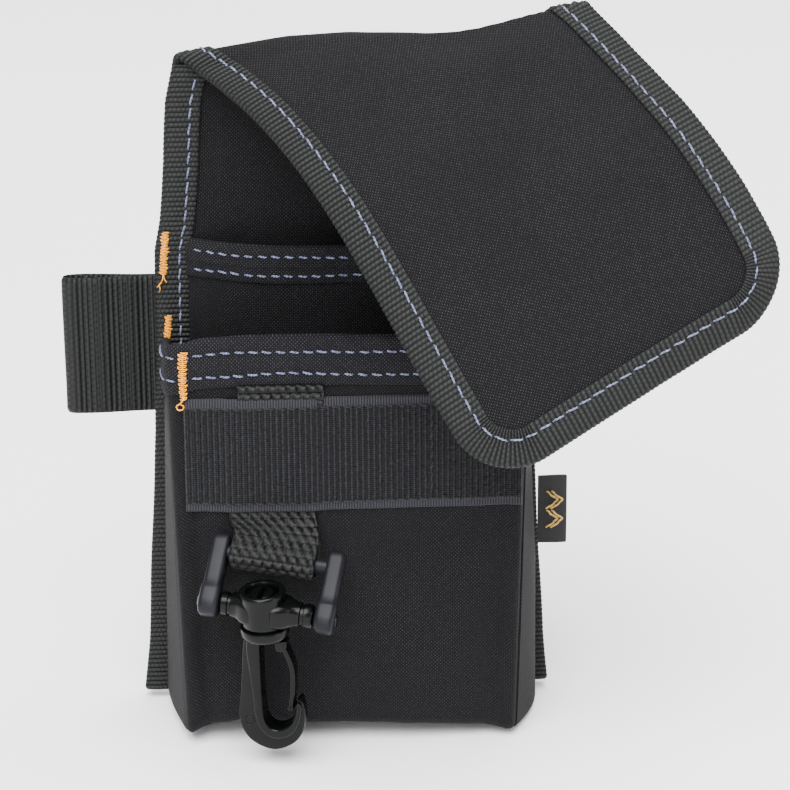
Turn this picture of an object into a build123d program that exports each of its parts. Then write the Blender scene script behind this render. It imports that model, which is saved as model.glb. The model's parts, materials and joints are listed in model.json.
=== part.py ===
from build123d import *
import math
import os

os.makedirs("parts", exist_ok=True)

# ------------------------------------------------------------------ dimensions
# Millimetres.  X runs to the wearer's right-hand side of the front view, -Y is
# the front of the pouch, +Z is up.  The origin is the middle of the belt tunnel.

FABRIC = 1.2             # coated polyester cloth, one layer
TAPE = 0.9               # binding tape, one layer
TAPE_SHOWS = 9.5         # how far the binding reaches in from an edge
GAP = 0.3                # between soft pieces that only lie on each other

# back panel
BACK_REAR = -3.5
BACK_FRONT = -6.5
BACK_BOTTOM = -121.5
BACK_TOP = 78.0
BACK_OUTLINE = [(61.0, BACK_BOTTOM), (60.8, -60.0), (56.2, 22.0), (51.0, 66.0), (48.3, BACK_TOP)]

# belt tunnel
BELT_STRIP_WIDTH = 50.0
BELT_STRIP = 2.0
BELT_REAR = 5.5
TUNNEL_HALF = 36.0
TUNNEL_TAB = 13.0

# tool loop on the left edge
TOOL_LOOP_TOP = 11.0
TOOL_LOOP_BOTTOM = -31.5
TOOL_LOOP_OUT = -84.0
TOOL_LOOP_ROOT = -34.0
TOOL_WEB = 1.6
TOOL_LOOP_BULGE = 11.0
TOOL_LOOP_MID = -0.8

# main pocket
MOUTH = 1.5
MOUTH_FRONT = -37.5
FLOOR_FRONT = -42.0
MOUTH_HALF = 53.0
FLOOR_HALF = 50.0
GUSSET_ROOT_HALF = 55.0
GUSSET_LOW_HALF = 57.5
GUSSET_DROP = 2.5
HEM = 14.0

# inner pocket
INNER_MOUTH = 23.5
INNER_MOUTH_FRONT = -17.5
INNER_FLOOR_FRONT = -13.0
INNER_HEM = 12.0
INNER_LOW = BACK_BOTTOM + FABRIC + GAP
INNER_HALF_LOW = 52.0
INNER_HALF_HIGH = 48.0

# loop tape on the front
LOOP_TAPE = 2.0
LOOP_TAPE_LEFT = -48.5
LOOP_TAPE_RIGHT = 51.0
LOOP_TAPE_TOP = -15.5
LOOP_TAPE_BOTTOM = -50.5

# webbing that carries the snap hook
STRAP_X = -22.4
STRAP_WIDTH = 25.4
STRAP = 2.0
STRAP_UNDER = 1.0

# snap hook hardware for one-inch webbing
BAR_Z = -61.5
BAR_STANDOFF = 9.6
BAR_R = 2.2
YOKE_TILT = 37.0
YOKE_YAW = -14.0
YOKE_ROLL = 5.0
ARM_IN = 15.2
ARM_OUT = 19.7
ARM_DEPTH = 6.0
ARM_ABOVE = 4.6
PIN_DROP = 15.5
EYE_R = 4.0
PIN_R = 1.8
RUNNING_FIT = 0.06
HUB_TOP_R = 7.2
HUB_LOW_R = 6.4
HUB_HEIGHT = 10.4
RECESS_R = 5.3
RECESS_DEEP = 2.2
STEM_R = 3.0
STEM_TILT = 6.0
STEM_ROLL = 6.5
COLLAR_R = 7.2
HOOK_LENGTH = 45.0
HOOK_THICK = 3.8
RIB_THICK = 6.4
HOOK_LEFT, HOOK_RIGHT = -9.4, 10.4
SLOT_LEFT, SLOT_RIGHT = -2.0, 6.2
NECK_HALF = 6.2
COLLAR_LOW = -HUB_HEIGHT / 2 - 3.6
NOSE_TIP = -HOOK_LENGTH + 14.0
GATE_X = 4.6
KNUCKLE_Z = COLLAR_LOW - 2.0
GATE_THICK = 1.6
GATE_DEEP = 4.6

# flap: control points of its two long edges, as it lies thrown open
FLAP_LEFT = [(-40, -11, 74.5), (-5, -47, 58), (6, -66, 21), (37.5, -88, -26.5)]
FLAP_RIGHT = [(70.5, -15, 92.3), (80.5, -27, 82.5), (112, -60, 59), (124, -62, 18.7)]
FLAP_CORNER_R = 18.0
FLAP_CLOTH = 1.2
FLAP_CROWN = 2.0
LAYER_GAP = 0.1
FLAP_TRIM = 0.4
FOLD_HALF = 47.8
FOLD_REACH = 0.25
FOLD_CLOTH = 0.9
PATCH_FROM, PATCH_TO = 0.62, 0.86
PATCH_MARGIN = 0.14
PATCH = 1.6


# --------------------------------------------------------------------- helpers
def save(name, *shapes):
    """Write one named piece; several loose solids go in as one group."""
    whole = shapes[0] if len(shapes) == 1 else Compound(children=list(shapes))
    export_step(whole, f"parts/{name}.step")


def block(x0, x1, y0, y1, z0, z1):
    """Axis-aligned box between two corners."""
    size = (x1 - x0, y1 - y0, z1 - z0)
    middle = ((x0 + x1) / 2, (y0 + y1) / 2, (z0 + z1) / 2)
    return Pos(*middle) * Box(*size)


def prism_x(points_yz, x0, x1):
    """Y-Z outline run along X."""
    face = make_face(Polyline([(x0, y, z) for y, z in points_yz], close=True))
    return extrude(face, amount=x1 - x0, dir=(1, 0, 0))


def prism_y(points_xz, y0, y1):
    """X-Z outline run along Y."""
    face = make_face(Polyline([(x, y0, z) for x, z in points_xz], close=True))
    return extrude(face, amount=y1 - y0, dir=(0, 1, 0))


def front_y(z):
    """Outer face of the front panel, which leans out towards the floor."""
    share = (MOUTH - z) / (MOUTH - BACK_BOTTOM)
    return MOUTH_FRONT + share * (FLOOR_FRONT - MOUTH_FRONT)


def inner_y(z):
    """Front face of the inner pocket's wall."""
    share = (INNER_MOUTH - z) / (INNER_MOUTH - BACK_BOTTOM)
    return INNER_MOUTH_FRONT + share * (INNER_FLOOR_FRONT - INNER_MOUTH_FRONT)


def front_half(z):
    """Half width of the front panel at a height."""
    share = (MOUTH - z) / (MOUTH - BACK_BOTTOM)
    return MOUTH_HALF + share * (FLOOR_HALF - MOUTH_HALF)


def mirrored_outline(points, grow=0.0):
    """Right-hand outline points closed with their mirror images."""
    right = [(x + grow, z) for x, z in points]
    return right + [(-x, z) for x, z in reversed(right)]


# ------------------------------------------------------------------ back panel
def back_panel():
    return prism_y(mirrored_outline(BACK_OUTLINE), BACK_FRONT, BACK_REAR)


def side_binding(side):
    """U of tape round one long edge of the back panel."""
    outer = [(side * (x + TAPE), z) for x, z in BACK_OUTLINE]
    inner = [(side * (x - TAPE_SHOWS), z) for x, z in reversed(BACK_OUTLINE)]
    band = prism_y(outer + inner, BACK_FRONT - TAPE, BACK_REAR + TAPE)
    return band - back_panel()


def bottom_binding():
    """U of tape along the lower edge, between the two side tapes."""
    reach = BACK_OUTLINE[0][0] - TAPE_SHOWS - GAP
    band = block(-reach, reach, BACK_FRONT - TAPE, BACK_REAR + TAPE,
                 BACK_BOTTOM - TAPE, BACK_BOTTOM + TAPE_SHOWS)
    return band - back_panel()


# ----------------------------------------------------------------- belt tunnel
def belt_loop():
    """Vertical webbing strip whose two ends are sewn to the back."""
    y_in = BELT_REAR - BELT_STRIP
    top = TUNNEL_HALF + BELT_STRIP
    tab = TUNNEL_HALF + TUNNEL_TAB
    outer = [(BACK_REAR, -tab), (BACK_REAR + BELT_STRIP, -tab),
             (BACK_REAR + BELT_STRIP, -top), (BELT_REAR, -top),
             (BELT_REAR, top), (BACK_REAR + BELT_STRIP, top),
             (BACK_REAR + BELT_STRIP, tab), (BACK_REAR, tab)]
    half = BELT_STRIP_WIDTH / 2
    strip = prism_x(outer, -half, half)
    tunnel = block(-half - 1, half + 1, BACK_REAR, y_in, -TUNNEL_HALF, TUNNEL_HALF)
    return strip - tunnel


def tool_loop():
    """Webbing folded back on itself, sewn flat behind the left edge."""
    front = BACK_REAR + TAPE + 0.2
    turn = TOOL_LOOP_BULGE / 2
    fold = (TOOL_LOOP_OUT + turn, TOOL_LOOP_MID)
    shut = -BACK_OUTLINE[0][0] - TAPE - 0.5
    root_y = front + TOOL_WEB
    pinch = Pos(shut - 0.2, root_y)
    outer = Pos(*fold) * Circle(turn) + pinch * Rectangle(0.4, 2 * TOOL_WEB)
    inner = Pos(*fold) * Circle(turn - TOOL_WEB) + Pos(shut - 3, root_y) * Circle(0.15)
    root = Pos((shut + TOOL_LOOP_ROOT) / 2, root_y) * (
        Rectangle(TOOL_LOOP_ROOT - shut, 2 * TOOL_WEB))
    strip = make_face(make_hull(outer.edges())) - make_face(make_hull(inner.edges())) + root
    height = TOOL_LOOP_TOP - TOOL_LOOP_BOTTOM
    return Pos(0, 0, TOOL_LOOP_BOTTOM) * extrude(strip, amount=height)


# ---------------------------------------------------------------- main pocket
def front_sheet(outer, inner, z_low, z_high):
    """Slab parallel to the front panel, between two offsets from its face."""
    return prism_x([(front_y(z_low) + outer, z_low), (front_y(z_high) + outer, z_high),
                    (front_y(z_high) + inner, z_high), (front_y(z_low) + inner, z_low)],
                   -MOUTH_HALF, MOUTH_HALF)


def front_outline():
    """Block that trims a slab to the tapering sides of the front panel."""
    points = [(FLOOR_HALF, BACK_BOTTOM), (MOUTH_HALF, MOUTH), (MOUTH_HALF, MOUTH + 5)]
    return prism_y(mirrored_outline(points), FLOOR_FRONT - 10, 0)


def front_panel():
    return front_sheet(0, FABRIC, BACK_BOTTOM, MOUTH) & front_outline()


def front_hem():
    """Double-folded band over the mouth."""
    band = front_sheet(-TAPE, FABRIC + TAPE, MOUTH - HEM, MOUTH + TAPE) & front_outline()
    return band - front_panel()


def gusset(side):
    """Side wall from the back panel's edge to the front panel's edge."""
    rear_y = BACK_FRONT - TAPE - 0.05
    sections = []
    for z, x_rear in ((BACK_BOTTOM, GUSSET_LOW_HALF), (MOUTH, GUSSET_ROOT_HALF)):
        x_front = front_half(z) + 0.35
        y_front = front_y(z)
        corners = [(side * x_rear, rear_y, z), (side * (x_rear - FABRIC), rear_y, z),
                   (side * (x_front + 0.05), y_front, z),
                   (side * (x_front + 0.05 + FABRIC), y_front, z)]
        sections.append(make_face(Polyline(corners, close=True)))
    wall = loft(sections, ruled=True)
    cut = prism_x([(rear_y + 1, MOUTH - GUSSET_DROP), (MOUTH_FRONT - 1, MOUTH),
                   (MOUTH_FRONT - 1, MOUTH + 1), (rear_y + 1, MOUTH + 1)], -90, 90)
    return wall - cut


def pocket_floor():
    """Bottom of the pocket, inside the four walls."""
    rear = BACK_FRONT - TAPE - 0.1
    front = front_y(BACK_BOTTOM) + FABRIC + 0.1
    side_rear = GUSSET_LOW_HALF - FABRIC - 0.6
    side_front = FLOOR_HALF - 1.0
    corners = [(-side_rear, rear), (side_rear, rear), (side_front, front), (-side_front, front)]
    face = make_face(Polyline([(x, y, BACK_BOTTOM) for x, y in corners], close=True))
    return extrude(face, amount=FABRIC, dir=(0, 0, 1))


# --------------------------------------------------------------- inner pocket
def inner_sheet(outer, inner, z_low, z_high, half_low, half_high):
    slab = prism_x([(inner_y(z_low) + outer, z_low), (inner_y(z_high) + outer, z_high),
                    (inner_y(z_high) + inner, z_high), (inner_y(z_low) + inner, z_low)],
                   -BACK_OUTLINE[0][0], BACK_OUTLINE[0][0])
    trim = prism_y([(half_low, z_low), (half_high, z_high),
                    (-half_high, z_high), (-half_low, z_low)], -30, 0)
    return slab & trim


def inner_half(z):
    share = (INNER_MOUTH - z) / (INNER_MOUTH - INNER_LOW)
    return INNER_HALF_HIGH + share * (INNER_HALF_LOW - INNER_HALF_HIGH)


def inner_panel():
    return inner_sheet(0, FABRIC, INNER_LOW, INNER_MOUTH, INNER_HALF_LOW, INNER_HALF_HIGH)


def inner_hem():
    low = INNER_MOUTH - INNER_HEM
    top = INNER_MOUTH + TAPE
    band = inner_sheet(-TAPE, FABRIC + TAPE, low, top, inner_half(low), INNER_HALF_HIGH)
    return band - inner_panel()


def inner_wing(side):
    """Short side of the inner pocket, from its wall back to the binding."""
    rear_y = BACK_FRONT - TAPE - 0.05
    sections = []
    for z in (MOUTH + GAP, INNER_MOUTH):
        x = inner_half(z) + 0.05
        y = inner_y(z)
        corners = [(side * x, y, z), (side * (x + FABRIC), y, z),
                   (side * (x + FABRIC), rear_y, z), (side * x, rear_y, z)]
        sections.append(make_face(Polyline(corners, close=True)))
    return loft(sections, ruled=True)


# ------------------------------------------------------ loop tape and its strap
def loop_tape():
    strip = front_sheet(-LOOP_TAPE, 0, LOOP_TAPE_BOTTOM, LOOP_TAPE_TOP)
    strip &= block(LOOP_TAPE_LEFT, LOOP_TAPE_RIGHT, -60, 0, LOOP_TAPE_BOTTOM, LOOP_TAPE_TOP)
    return strip - hook_strap()


def bar_place():
    """Where the yoke's cross bar lies, before the yoke swings on it."""
    centre = (STRAP_X, front_y(BAR_Z) - BAR_STANDOFF, BAR_Z)
    return Pos(*centre) * Rot(0, YOKE_ROLL, 0) * Rot(0, 0, YOKE_YAW)


def hook_strap():
    """Tab, neck and free loop of the webbing."""
    half = STRAP_WIDTH / 2
    wrap_in = BAR_R + 0.35
    wrap_out = wrap_in + STRAP
    neck_z = LOOP_TAPE_BOTTOM - 0.2
    root = Pos(STRAP_X, front_y(neck_z) - 1.3, neck_z) * Rectangle(STRAP_WIDTH, 2.2)
    shoulder = bar_place() * Pos(0, 1.2, wrap_out + 0.5) * Rectangle(STRAP_WIDTH, 4.8)
    neck = loft([root, shoulder], ruled=True)
    ring = Plane.YZ * (Circle(wrap_out) + Pos(0.6, wrap_out / 2 + 0.4) * Rectangle(
        2 * wrap_out - 1.2, wrap_out + 0.8))
    ring = extrude(ring, amount=half, both=True)
    bore = extrude(Plane.YZ * Circle(wrap_in), amount=half + 1, both=True)
    return strap_root() + neck + bar_place() * (ring - bore)


def strap_root():
    """The tab runs on under the tape's lower edge to where the neck starts."""
    low = LOOP_TAPE_BOTTOM - 0.2
    half = STRAP_WIDTH / 2
    run = front_sheet(-STRAP_UNDER, 0, low, MOUTH - HEM - 0.1)
    return run & block(STRAP_X - half, STRAP_X + half, -60, 0, low, MOUTH)


# ------------------------------------------------------------------- snap hook
def yoke_place():
    return bar_place() * Rot(-YOKE_TILT, 0, 0)


def pin_place():
    """Pin axis, with the stem hanging from it."""
    return yoke_place() * Pos(0, 0, -PIN_DROP) * Rot(YOKE_TILT + STEM_TILT, 0, 0)


def stem_place():
    """Swivel axis; the trunnions' play lets it hang plumb although the yoke leans."""
    return pin_place() * Rot(0, -STEM_ROLL, 0)


def yoke():
    """Cross bar and two arms that end in eyes."""
    bar = extrude(Plane.YZ * Circle(BAR_R), amount=ARM_IN + 0.5, both=True)
    body = bar
    for side in (-1, 1):
        x0, x1 = sorted((side * ARM_IN, side * ARM_OUT))
        arm = block(x0, x1, -ARM_DEPTH / 2, ARM_DEPTH / 2, -PIN_DROP, ARM_ABOVE)
        arm += Pos(x0, 0, -PIN_DROP) * extrude(Plane.YZ * Circle(EYE_R), amount=x1 - x0)
        arm = fillet(arm.edges().group_by(Axis.Z)[-1], 1.2)
        eye = Pos(x0 - 1, 0, -PIN_DROP) * extrude(
            Plane.YZ * Circle(PIN_R + RUNNING_FIT), amount=x1 - x0 + 2)
        body += arm
        body -= eye
    return yoke_place() * body


def barrel():
    """Swivel housing: hub, two trunnions, and the recess round the stem's head."""
    hub = Pos(0, 0, -HUB_HEIGHT / 2) * Solid.make_cone(HUB_LOW_R, HUB_TOP_R, HUB_HEIGHT)
    trunnion = extrude(Plane.YZ * Circle(3.2), amount=ARM_IN - 0.25, both=True)
    pin = extrude(Plane.YZ * Circle(PIN_R), amount=ARM_OUT + 0.4, both=True)
    web = Box(2 * ARM_IN - 4, 3.0, HUB_HEIGHT - 2.4)
    recess = Pos(0, 0, HUB_HEIGHT / 2 - RECESS_DEEP) * Cylinder(
        RECESS_R, RECESS_DEEP + 1, align=(Align.CENTER, Align.CENTER, Align.MIN))
    bore = Cylinder(STEM_R + RUNNING_FIT, HUB_HEIGHT + 2)
    solid = pin_place() * (trunnion + pin + web) + stem_place() * hub
    return solid - stem_place() * recess - stem_place() * bore


def hook_outline(shrink=0.0):
    """J shape in the X-Z plane, seen from the front, open on the right."""
    radius = (HOOK_RIGHT - HOOK_LEFT) / 2 - shrink
    centre_x = (HOOK_RIGHT + HOOK_LEFT) / 2
    centre_z = -HOOK_LENGTH + (HOOK_RIGHT - HOOK_LEFT) / 2
    top = COLLAR_LOW + 0.5
    left = HOOK_LEFT + shrink
    shape = Pos(centre_x, centre_z) * Circle(radius)
    shape += make_face(Polyline((left, centre_z), (shrink - NECK_HALF, top),
                                (NECK_HALF - shrink, top), (centre_x + radius, centre_z), close=True))
    slot_r = (SLOT_RIGHT - SLOT_LEFT) / 2 + shrink
    slot_x = (SLOT_RIGHT + SLOT_LEFT) / 2
    slot_low = -HOOK_LENGTH + 5.0 + slot_r - shrink
    slot_top = COLLAR_LOW - 5.5
    shape -= Pos(slot_x, slot_low) * Circle(slot_r)
    shape -= Pos(slot_x, (slot_low + slot_top) / 2) * Rectangle(2 * slot_r, slot_top - slot_low)
    shape -= Pos(slot_x, slot_top) * Circle(slot_r)
    mouth_x = slot_x + 15
    shape -= Pos(mouth_x, (NOSE_TIP + COLLAR_LOW) / 2 - 0.6) * Rectangle(
        30, COLLAR_LOW - NOSE_TIP - 1.2)
    return shape


def snap_hook():
    """Split stem, collar and J-shaped hook, which spin together in the barrel."""
    stem_top = HUB_HEIGHT / 2 - RECESS_DEEP + 0.12
    solid = Pos(0, 0, COLLAR_LOW) * Cylinder(
        STEM_R, stem_top - COLLAR_LOW + 0.3, align=(Align.CENTER, Align.CENTER, Align.MIN))
    solid += Pos(0, 0, stem_top) * Solid.make_cone(STEM_R + 1.2, STEM_R + 0.2, 1.7)
    solid -= Pos(0, 0, stem_top) * Box(1.1, 12, 9)
    collar_top = -HUB_HEIGHT / 2 - 0.12
    solid += Pos(0, 0, COLLAR_LOW) * Solid.make_cone(
        COLLAR_R - 1.0, COLLAR_R, (collar_top - COLLAR_LOW) * 0.55)
    solid += Pos(0, 0, COLLAR_LOW + (collar_top - COLLAR_LOW) * 0.55) * Cylinder(
        COLLAR_R, (collar_top - COLLAR_LOW) * 0.45, align=(Align.CENTER, Align.CENTER, Align.MIN))
    solid += extrude(Plane.XZ * hook_outline(), amount=HOOK_THICK / 2, both=True)
    solid += extrude(Plane.XZ * hook_outline(1.1), amount=RIB_THICK / 2, both=True)
    knuckle = block(GATE_X - 2.6, GATE_X + 2.6, -GATE_DEEP / 2, GATE_DEEP / 2,
                    KNUCKLE_Z, COLLAR_LOW + 0.6)
    solid += knuckle
    solid -= gate_socket()
    return stem_place() * solid


def gate_socket():
    """Space swept by the gate's rounded root and by its blade."""
    root = Plane.XZ * Pos(GATE_X, KNUCKLE_Z) * Circle(GATE_THICK / 2 + 0.5 + RUNNING_FIT)
    sweep = Plane.XZ * make_face(Polyline(
        (GATE_X + 1.5, KNUCKLE_Z), (GATE_X + 1.3, KNUCKLE_Z - 12), (GATE_X - 7, KNUCKLE_Z - 12),
        (GATE_X - 2.2, KNUCKLE_Z), close=True))
    return (extrude(root, amount=8, both=True) + extrude(sweep, amount=8, both=True))


def gate():
    """Sprung blade that closes the throat, with its rounded root."""
    root = Plane.XZ * Pos(GATE_X, KNUCKLE_Z) * Circle(GATE_THICK / 2 + 0.5)
    tip_z = NOSE_TIP - 1.6
    half = GATE_THICK / 2
    blade = Plane.XZ * make_face(Polyline(
        (GATE_X - half, KNUCKLE_Z), (GATE_X + half, KNUCKLE_Z),
        (GATE_X + half - 0.3, tip_z), (GATE_X - half - 0.1, tip_z), close=True))
    solid = extrude(root, amount=GATE_DEEP / 2, both=True)
    solid += extrude(blade, amount=GATE_DEEP / 2, both=True)
    return stem_place() * solid


# ------------------------------------------------------------------------ flap
def bezier(points, t):
    a, b, c, d = (Vector(*p) for p in points)
    s = 1 - t
    return a * s ** 3 + b * (3 * t * s * s) + c * (3 * t * t * s) + d * t ** 3


def flap_point(across, along):
    """Middle layer of the flap: 0..1 across from the left, 0..1 down to the tip."""
    left = bezier(FLAP_LEFT, along)
    right = bezier(FLAP_RIGHT, along)
    crown = FLAP_CROWN * 4 * across * (1 - across)
    return left + (right - left) * across + flap_normal() * crown


def flap_normal():
    """Mean outward normal of the flap."""
    down = bezier(FLAP_LEFT, 1) - bezier(FLAP_LEFT, 0)
    across = bezier(FLAP_RIGHT, 1) - bezier(FLAP_LEFT, 1)
    return down.cross(across).normalized()


def flap_face(lift, a0=0.0, a1=1.0, b0=0.0, b1=1.0, rows=9, columns=7):
    """Smooth face through the flap's points, lifted along its mean normal."""
    grid = []
    for i in range(rows):
        along = b0 + (b1 - b0) * i / (rows - 1)
        grid.append([flap_point(a0 + (a1 - a0) * j / (columns - 1), along)
                     + flap_normal() * lift for j in range(columns)])
    return Face.make_surface_from_array_of_points(grid)


def flap_slab(low, high, plug, window=None):
    """Curved slab between two lifts, trimmed to a plug and cut out by a window."""
    face = flap_face(low) & plug
    if window is not None:
        face -= window
    return extrude(face, amount=high - low, dir=flap_normal())


def rounded_corner(before, corner, after, radius):
    """Start, middle and end of the arc that rounds a corner."""
    at = Vector(*corner)
    back, on = (Vector(*before) - at).normalized(), (Vector(*after) - at).normalized()
    half = math.acos(back.dot(on)) / 2
    reach = radius / math.tan(half)
    middle = (back + on).normalized() * (radius / math.sin(half) - radius)
    return at + back * reach, at + middle, at + on * reach


def flap_outline_cutter(inset):
    """Plug of the flap's outline with rounded tip corners; it runs on past the fold."""
    normal = flap_normal()
    tip_left, tip_right = bezier(FLAP_LEFT, 1), bezier(FLAP_RIGHT, 1)
    x_dir = (tip_right - tip_left).normalized()
    y_dir = normal.cross(x_dir)
    plane = Plane(origin=tip_left, x_dir=x_dir, z_dir=normal)
    left, right = [], []
    for along in (*(i / 12 for i in range(8)), 1.0):
        for edge, store in ((FLAP_LEFT, left), (FLAP_RIGHT, right)):
            at = bezier(edge, along) - tip_left
            store.append((at.dot(x_dir), at.dot(y_dir)))
    left = [(x + inset, y) for x, y in left[:-1]] + [(left[-1][0] + inset, inset)]
    right = [(x - inset, y) for x, y in right[:-1]] + [(right[-1][0] - inset, inset)]
    for edge in (left, right):
        (x0, y0), (x1, y1) = edge[:2]
        edge.insert(0, (x0 + (x0 - x1), y0 + (y0 - y1)))
    radius = FLAP_CORNER_R - inset * 0.6
    first = rounded_corner(left[-2], left[-1], right[-1], radius)
    second = rounded_corner(left[-1], right[-1], right[-2], radius)
    outline = make_face([
        *Polyline(left[:-1] + [first[0]]).edges(), ThreePointArc(*first),
        Line(first[2], second[0]), ThreePointArc(*second),
        *Polyline([second[2]] + list(reversed(right[:-1]))).edges(), Line(right[0], left[0])])
    return extrude(plane * outline, amount=60, both=True)


def flap_layers():
    """Outer cloth, lining, the binding's two faces, and the hook patch."""
    half = FLAP_CLOTH
    body = flap_outline_cutter(FLAP_TRIM + TAPE)
    rim = flap_outline_cutter(FLAP_TRIM)
    window = flap_outline_cutter(TAPE_SHOWS)
    outer = flap_slab(0.05, half, body)
    lining = flap_slab(-half, -0.05, body)
    band = [flap_slab(half + LAYER_GAP, half + TAPE, rim, window),
            flap_slab(-half - TAPE, -half - LAYER_GAP, rim, window)]
    patch = extrude(flap_face(-half - LAYER_GAP, PATCH_MARGIN, 1 - PATCH_MARGIN,
                              PATCH_FROM, PATCH_TO), amount=-PATCH, dir=flap_normal())
    return outer, lining, band, patch


def fold_point(across, along):
    """Rolled cloth between the back panel's top edge and the flap."""
    start = Vector(FOLD_HALF * (2 * across - 1), BACK_FRONT + 1.4, BACK_TOP + 0.4)
    end = flap_point(across, 0)
    heading = (flap_point(across, 0.05) - end).normalized()
    first = start + Vector(3 * across, 1.5 * across, 3 + 14 * across)
    last = end - heading * (3 + 5 * across)
    return bezier([tuple(start), tuple(first), tuple(last), tuple(end)], along)


def flap_fold(rows=7, columns=7):
    """Standing part of the fold; it ends short of the flap, which turns past it."""
    grid = [[fold_point(j / (columns - 1), FOLD_REACH * i / (rows - 1)) for j in range(columns)]
            for i in range(rows)]
    return Solid.thicken(Face.make_surface_from_array_of_points(grid), FOLD_CLOTH)


# ------------------------------------------------------- label and bartacks
def label():
    """Folded woven label caught in the right-hand seam."""
    return block(BACK_OUTLINE[0][0] + TAPE, BACK_OUTLINE[0][0] + TAPE + 6.5,
                 BACK_FRONT + 0.8, BACK_FRONT + 2.2, -76.5, -54.5)


def bartacks():
    """Dense zigzag stitch bars that lock the pocket corners."""
    y = BACK_FRONT - TAPE
    bars = [block(-53.6, -51.1, y - 0.7, y - 0.05, 13.5, 25.5),
            block(-57.7, -55.8, y - 0.7, y - 0.05, -9.0, -2.0)]
    z_low, z_high = MOUTH - HEM - 2.7, MOUTH - 1.5
    bar = prism_x([(front_y(z_low) - TAPE - 0.7, z_low), (front_y(z_high) - TAPE - 0.7, z_high),
                   (front_y(z_high) - TAPE - 0.05, z_high), (front_y(z_low) - TAPE - 0.05, z_low)],
                  -48.7, -45.9)
    bars.append(bar)
    return bars


# ----------------------------------------------------------------------- write
save("back_panel", back_panel())
save("back_binding_left", side_binding(-1))
save("back_binding_right", side_binding(1))
save("back_binding_bottom", bottom_binding())
save("belt_loop", belt_loop())
save("tool_loop", tool_loop())
save("front_panel", front_panel())
save("front_hem_band", front_hem())
save("gusset_left", gusset(-1))
save("gusset_right", gusset(1))
save("pocket_floor", pocket_floor())
save("inner_panel", inner_panel())
save("inner_hem_band", inner_hem())
save("inner_wing_left", inner_wing(-1))
save("inner_wing_right", inner_wing(1))
save("loop_tape", loop_tape())
save("hook_strap", hook_strap())
save("side_label", label())
save("bartacks", *bartacks())
flap_outer, flap_inner, flap_band, flap_patch = flap_layers()
save("flap_fold", flap_fold())
save("flap_panel", flap_outer)
save("flap_lining", flap_inner)
save("flap_binding", *flap_band)
save("hook_patch", flap_patch)
save("strap_yoke", yoke())
save("swivel_barrel", barrel())
save("snap_hook", snap_hook())
save("hook_gate", gate())
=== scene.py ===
import json
import math

import bmesh
import bpy
import numpy as np
from mathutils import Matrix, Vector, noise


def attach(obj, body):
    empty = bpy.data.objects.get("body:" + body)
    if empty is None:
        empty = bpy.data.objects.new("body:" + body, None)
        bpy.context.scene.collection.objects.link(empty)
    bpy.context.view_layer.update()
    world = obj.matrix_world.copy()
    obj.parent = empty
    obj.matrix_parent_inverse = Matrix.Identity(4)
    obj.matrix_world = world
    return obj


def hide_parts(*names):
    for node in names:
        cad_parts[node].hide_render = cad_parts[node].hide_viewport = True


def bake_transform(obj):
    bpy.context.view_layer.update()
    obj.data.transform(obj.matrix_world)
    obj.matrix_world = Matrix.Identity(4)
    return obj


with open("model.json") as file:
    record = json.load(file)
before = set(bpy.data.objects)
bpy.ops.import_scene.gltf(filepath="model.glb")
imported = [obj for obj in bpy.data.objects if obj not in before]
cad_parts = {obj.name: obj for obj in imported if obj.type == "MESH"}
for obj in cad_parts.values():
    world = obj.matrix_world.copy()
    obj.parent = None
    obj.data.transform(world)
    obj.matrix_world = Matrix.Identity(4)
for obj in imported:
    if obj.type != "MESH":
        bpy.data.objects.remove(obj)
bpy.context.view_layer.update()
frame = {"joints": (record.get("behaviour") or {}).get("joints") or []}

MM = 0.001

# --------------------------------------------------------------- dimensions (mm)
# x runs to the pouch's right as the viewer sees it, y towards its back, z up.
CLOTH = 1.2
TAPE = 0.9
TAPE_SHOWS = 9.5
BACK_MID = -5.0
BACK_HALF_THICK = 1.5
BACK_BOTTOM, BACK_TOP = -121.5, 78.0
BACK_OUTLINE = [(62.0, BACK_BOTTOM), (60.6, -106.0), (59.4, -86.0), (58.0, -66.0), (56.6, -47.0),
                (55.9, -37.0), (54.8, 20.0), (53.1, 29.0), (51.1, 47.0), (49.8, 65.0), (48.0, 74.0),
                (46.8, BACK_TOP)]
BACK_TOP_DROP = 2.4
TAPE_FRONT = BACK_MID - BACK_HALF_THICK - TAPE

MOUTH, MOUTH_FRONT, FLOOR_FRONT = 1.5, -37.5, -42.0
MOUTH_HALF, FLOOR_HALF = 52.8, 49.0
HEM, TURN_UNDER = 14.0, 2.8
INNER_MOUTH, INNER_SWELL, INNER_HEM = 22.7, 10.2, 10.4
LOOP_LEFT, LOOP_RIGHT, LOOP_TOP, LOOP_LOW = -47.6, 51.0, -15.5, -50.0
SELVEDGE = 2.6

STRAP_X, STRAP_WIDTH, STRAP = -22.4, 25.4, 2.0
SCALE_LONG, SCALE_WIDE, TAB_SHIFT = 2.4, 2.9, 3.0
BAR = np.array([-22.4, -49.4, -61.5])
BAR_YAW, BAR_ROLL = -14.0, 5.0
BAR_R = 2.2

FLAP_LEFT = [(-40, -11, 74.5), (-5, -47, 58), (6, -66, 21), (37.5, -88, -26.5)]
FLAP_RIGHT = [(70.5, -15, 92.3), (80.5, -27, 82.5), (112, -60, 59), (124, -62, 18.7)]
FLAP_CORNER_R = 18.0
FLAP_CROWN = 2.0
FOLD_HALF = 47.8
FOLD_RISE = [0, 0.15, 0.3, 0.45, 0.6, 0.75, 0.9, 1], [3.6, 7.4, 10.4, 10.6, 8.8, 2.6, -2.0, -5]

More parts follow.
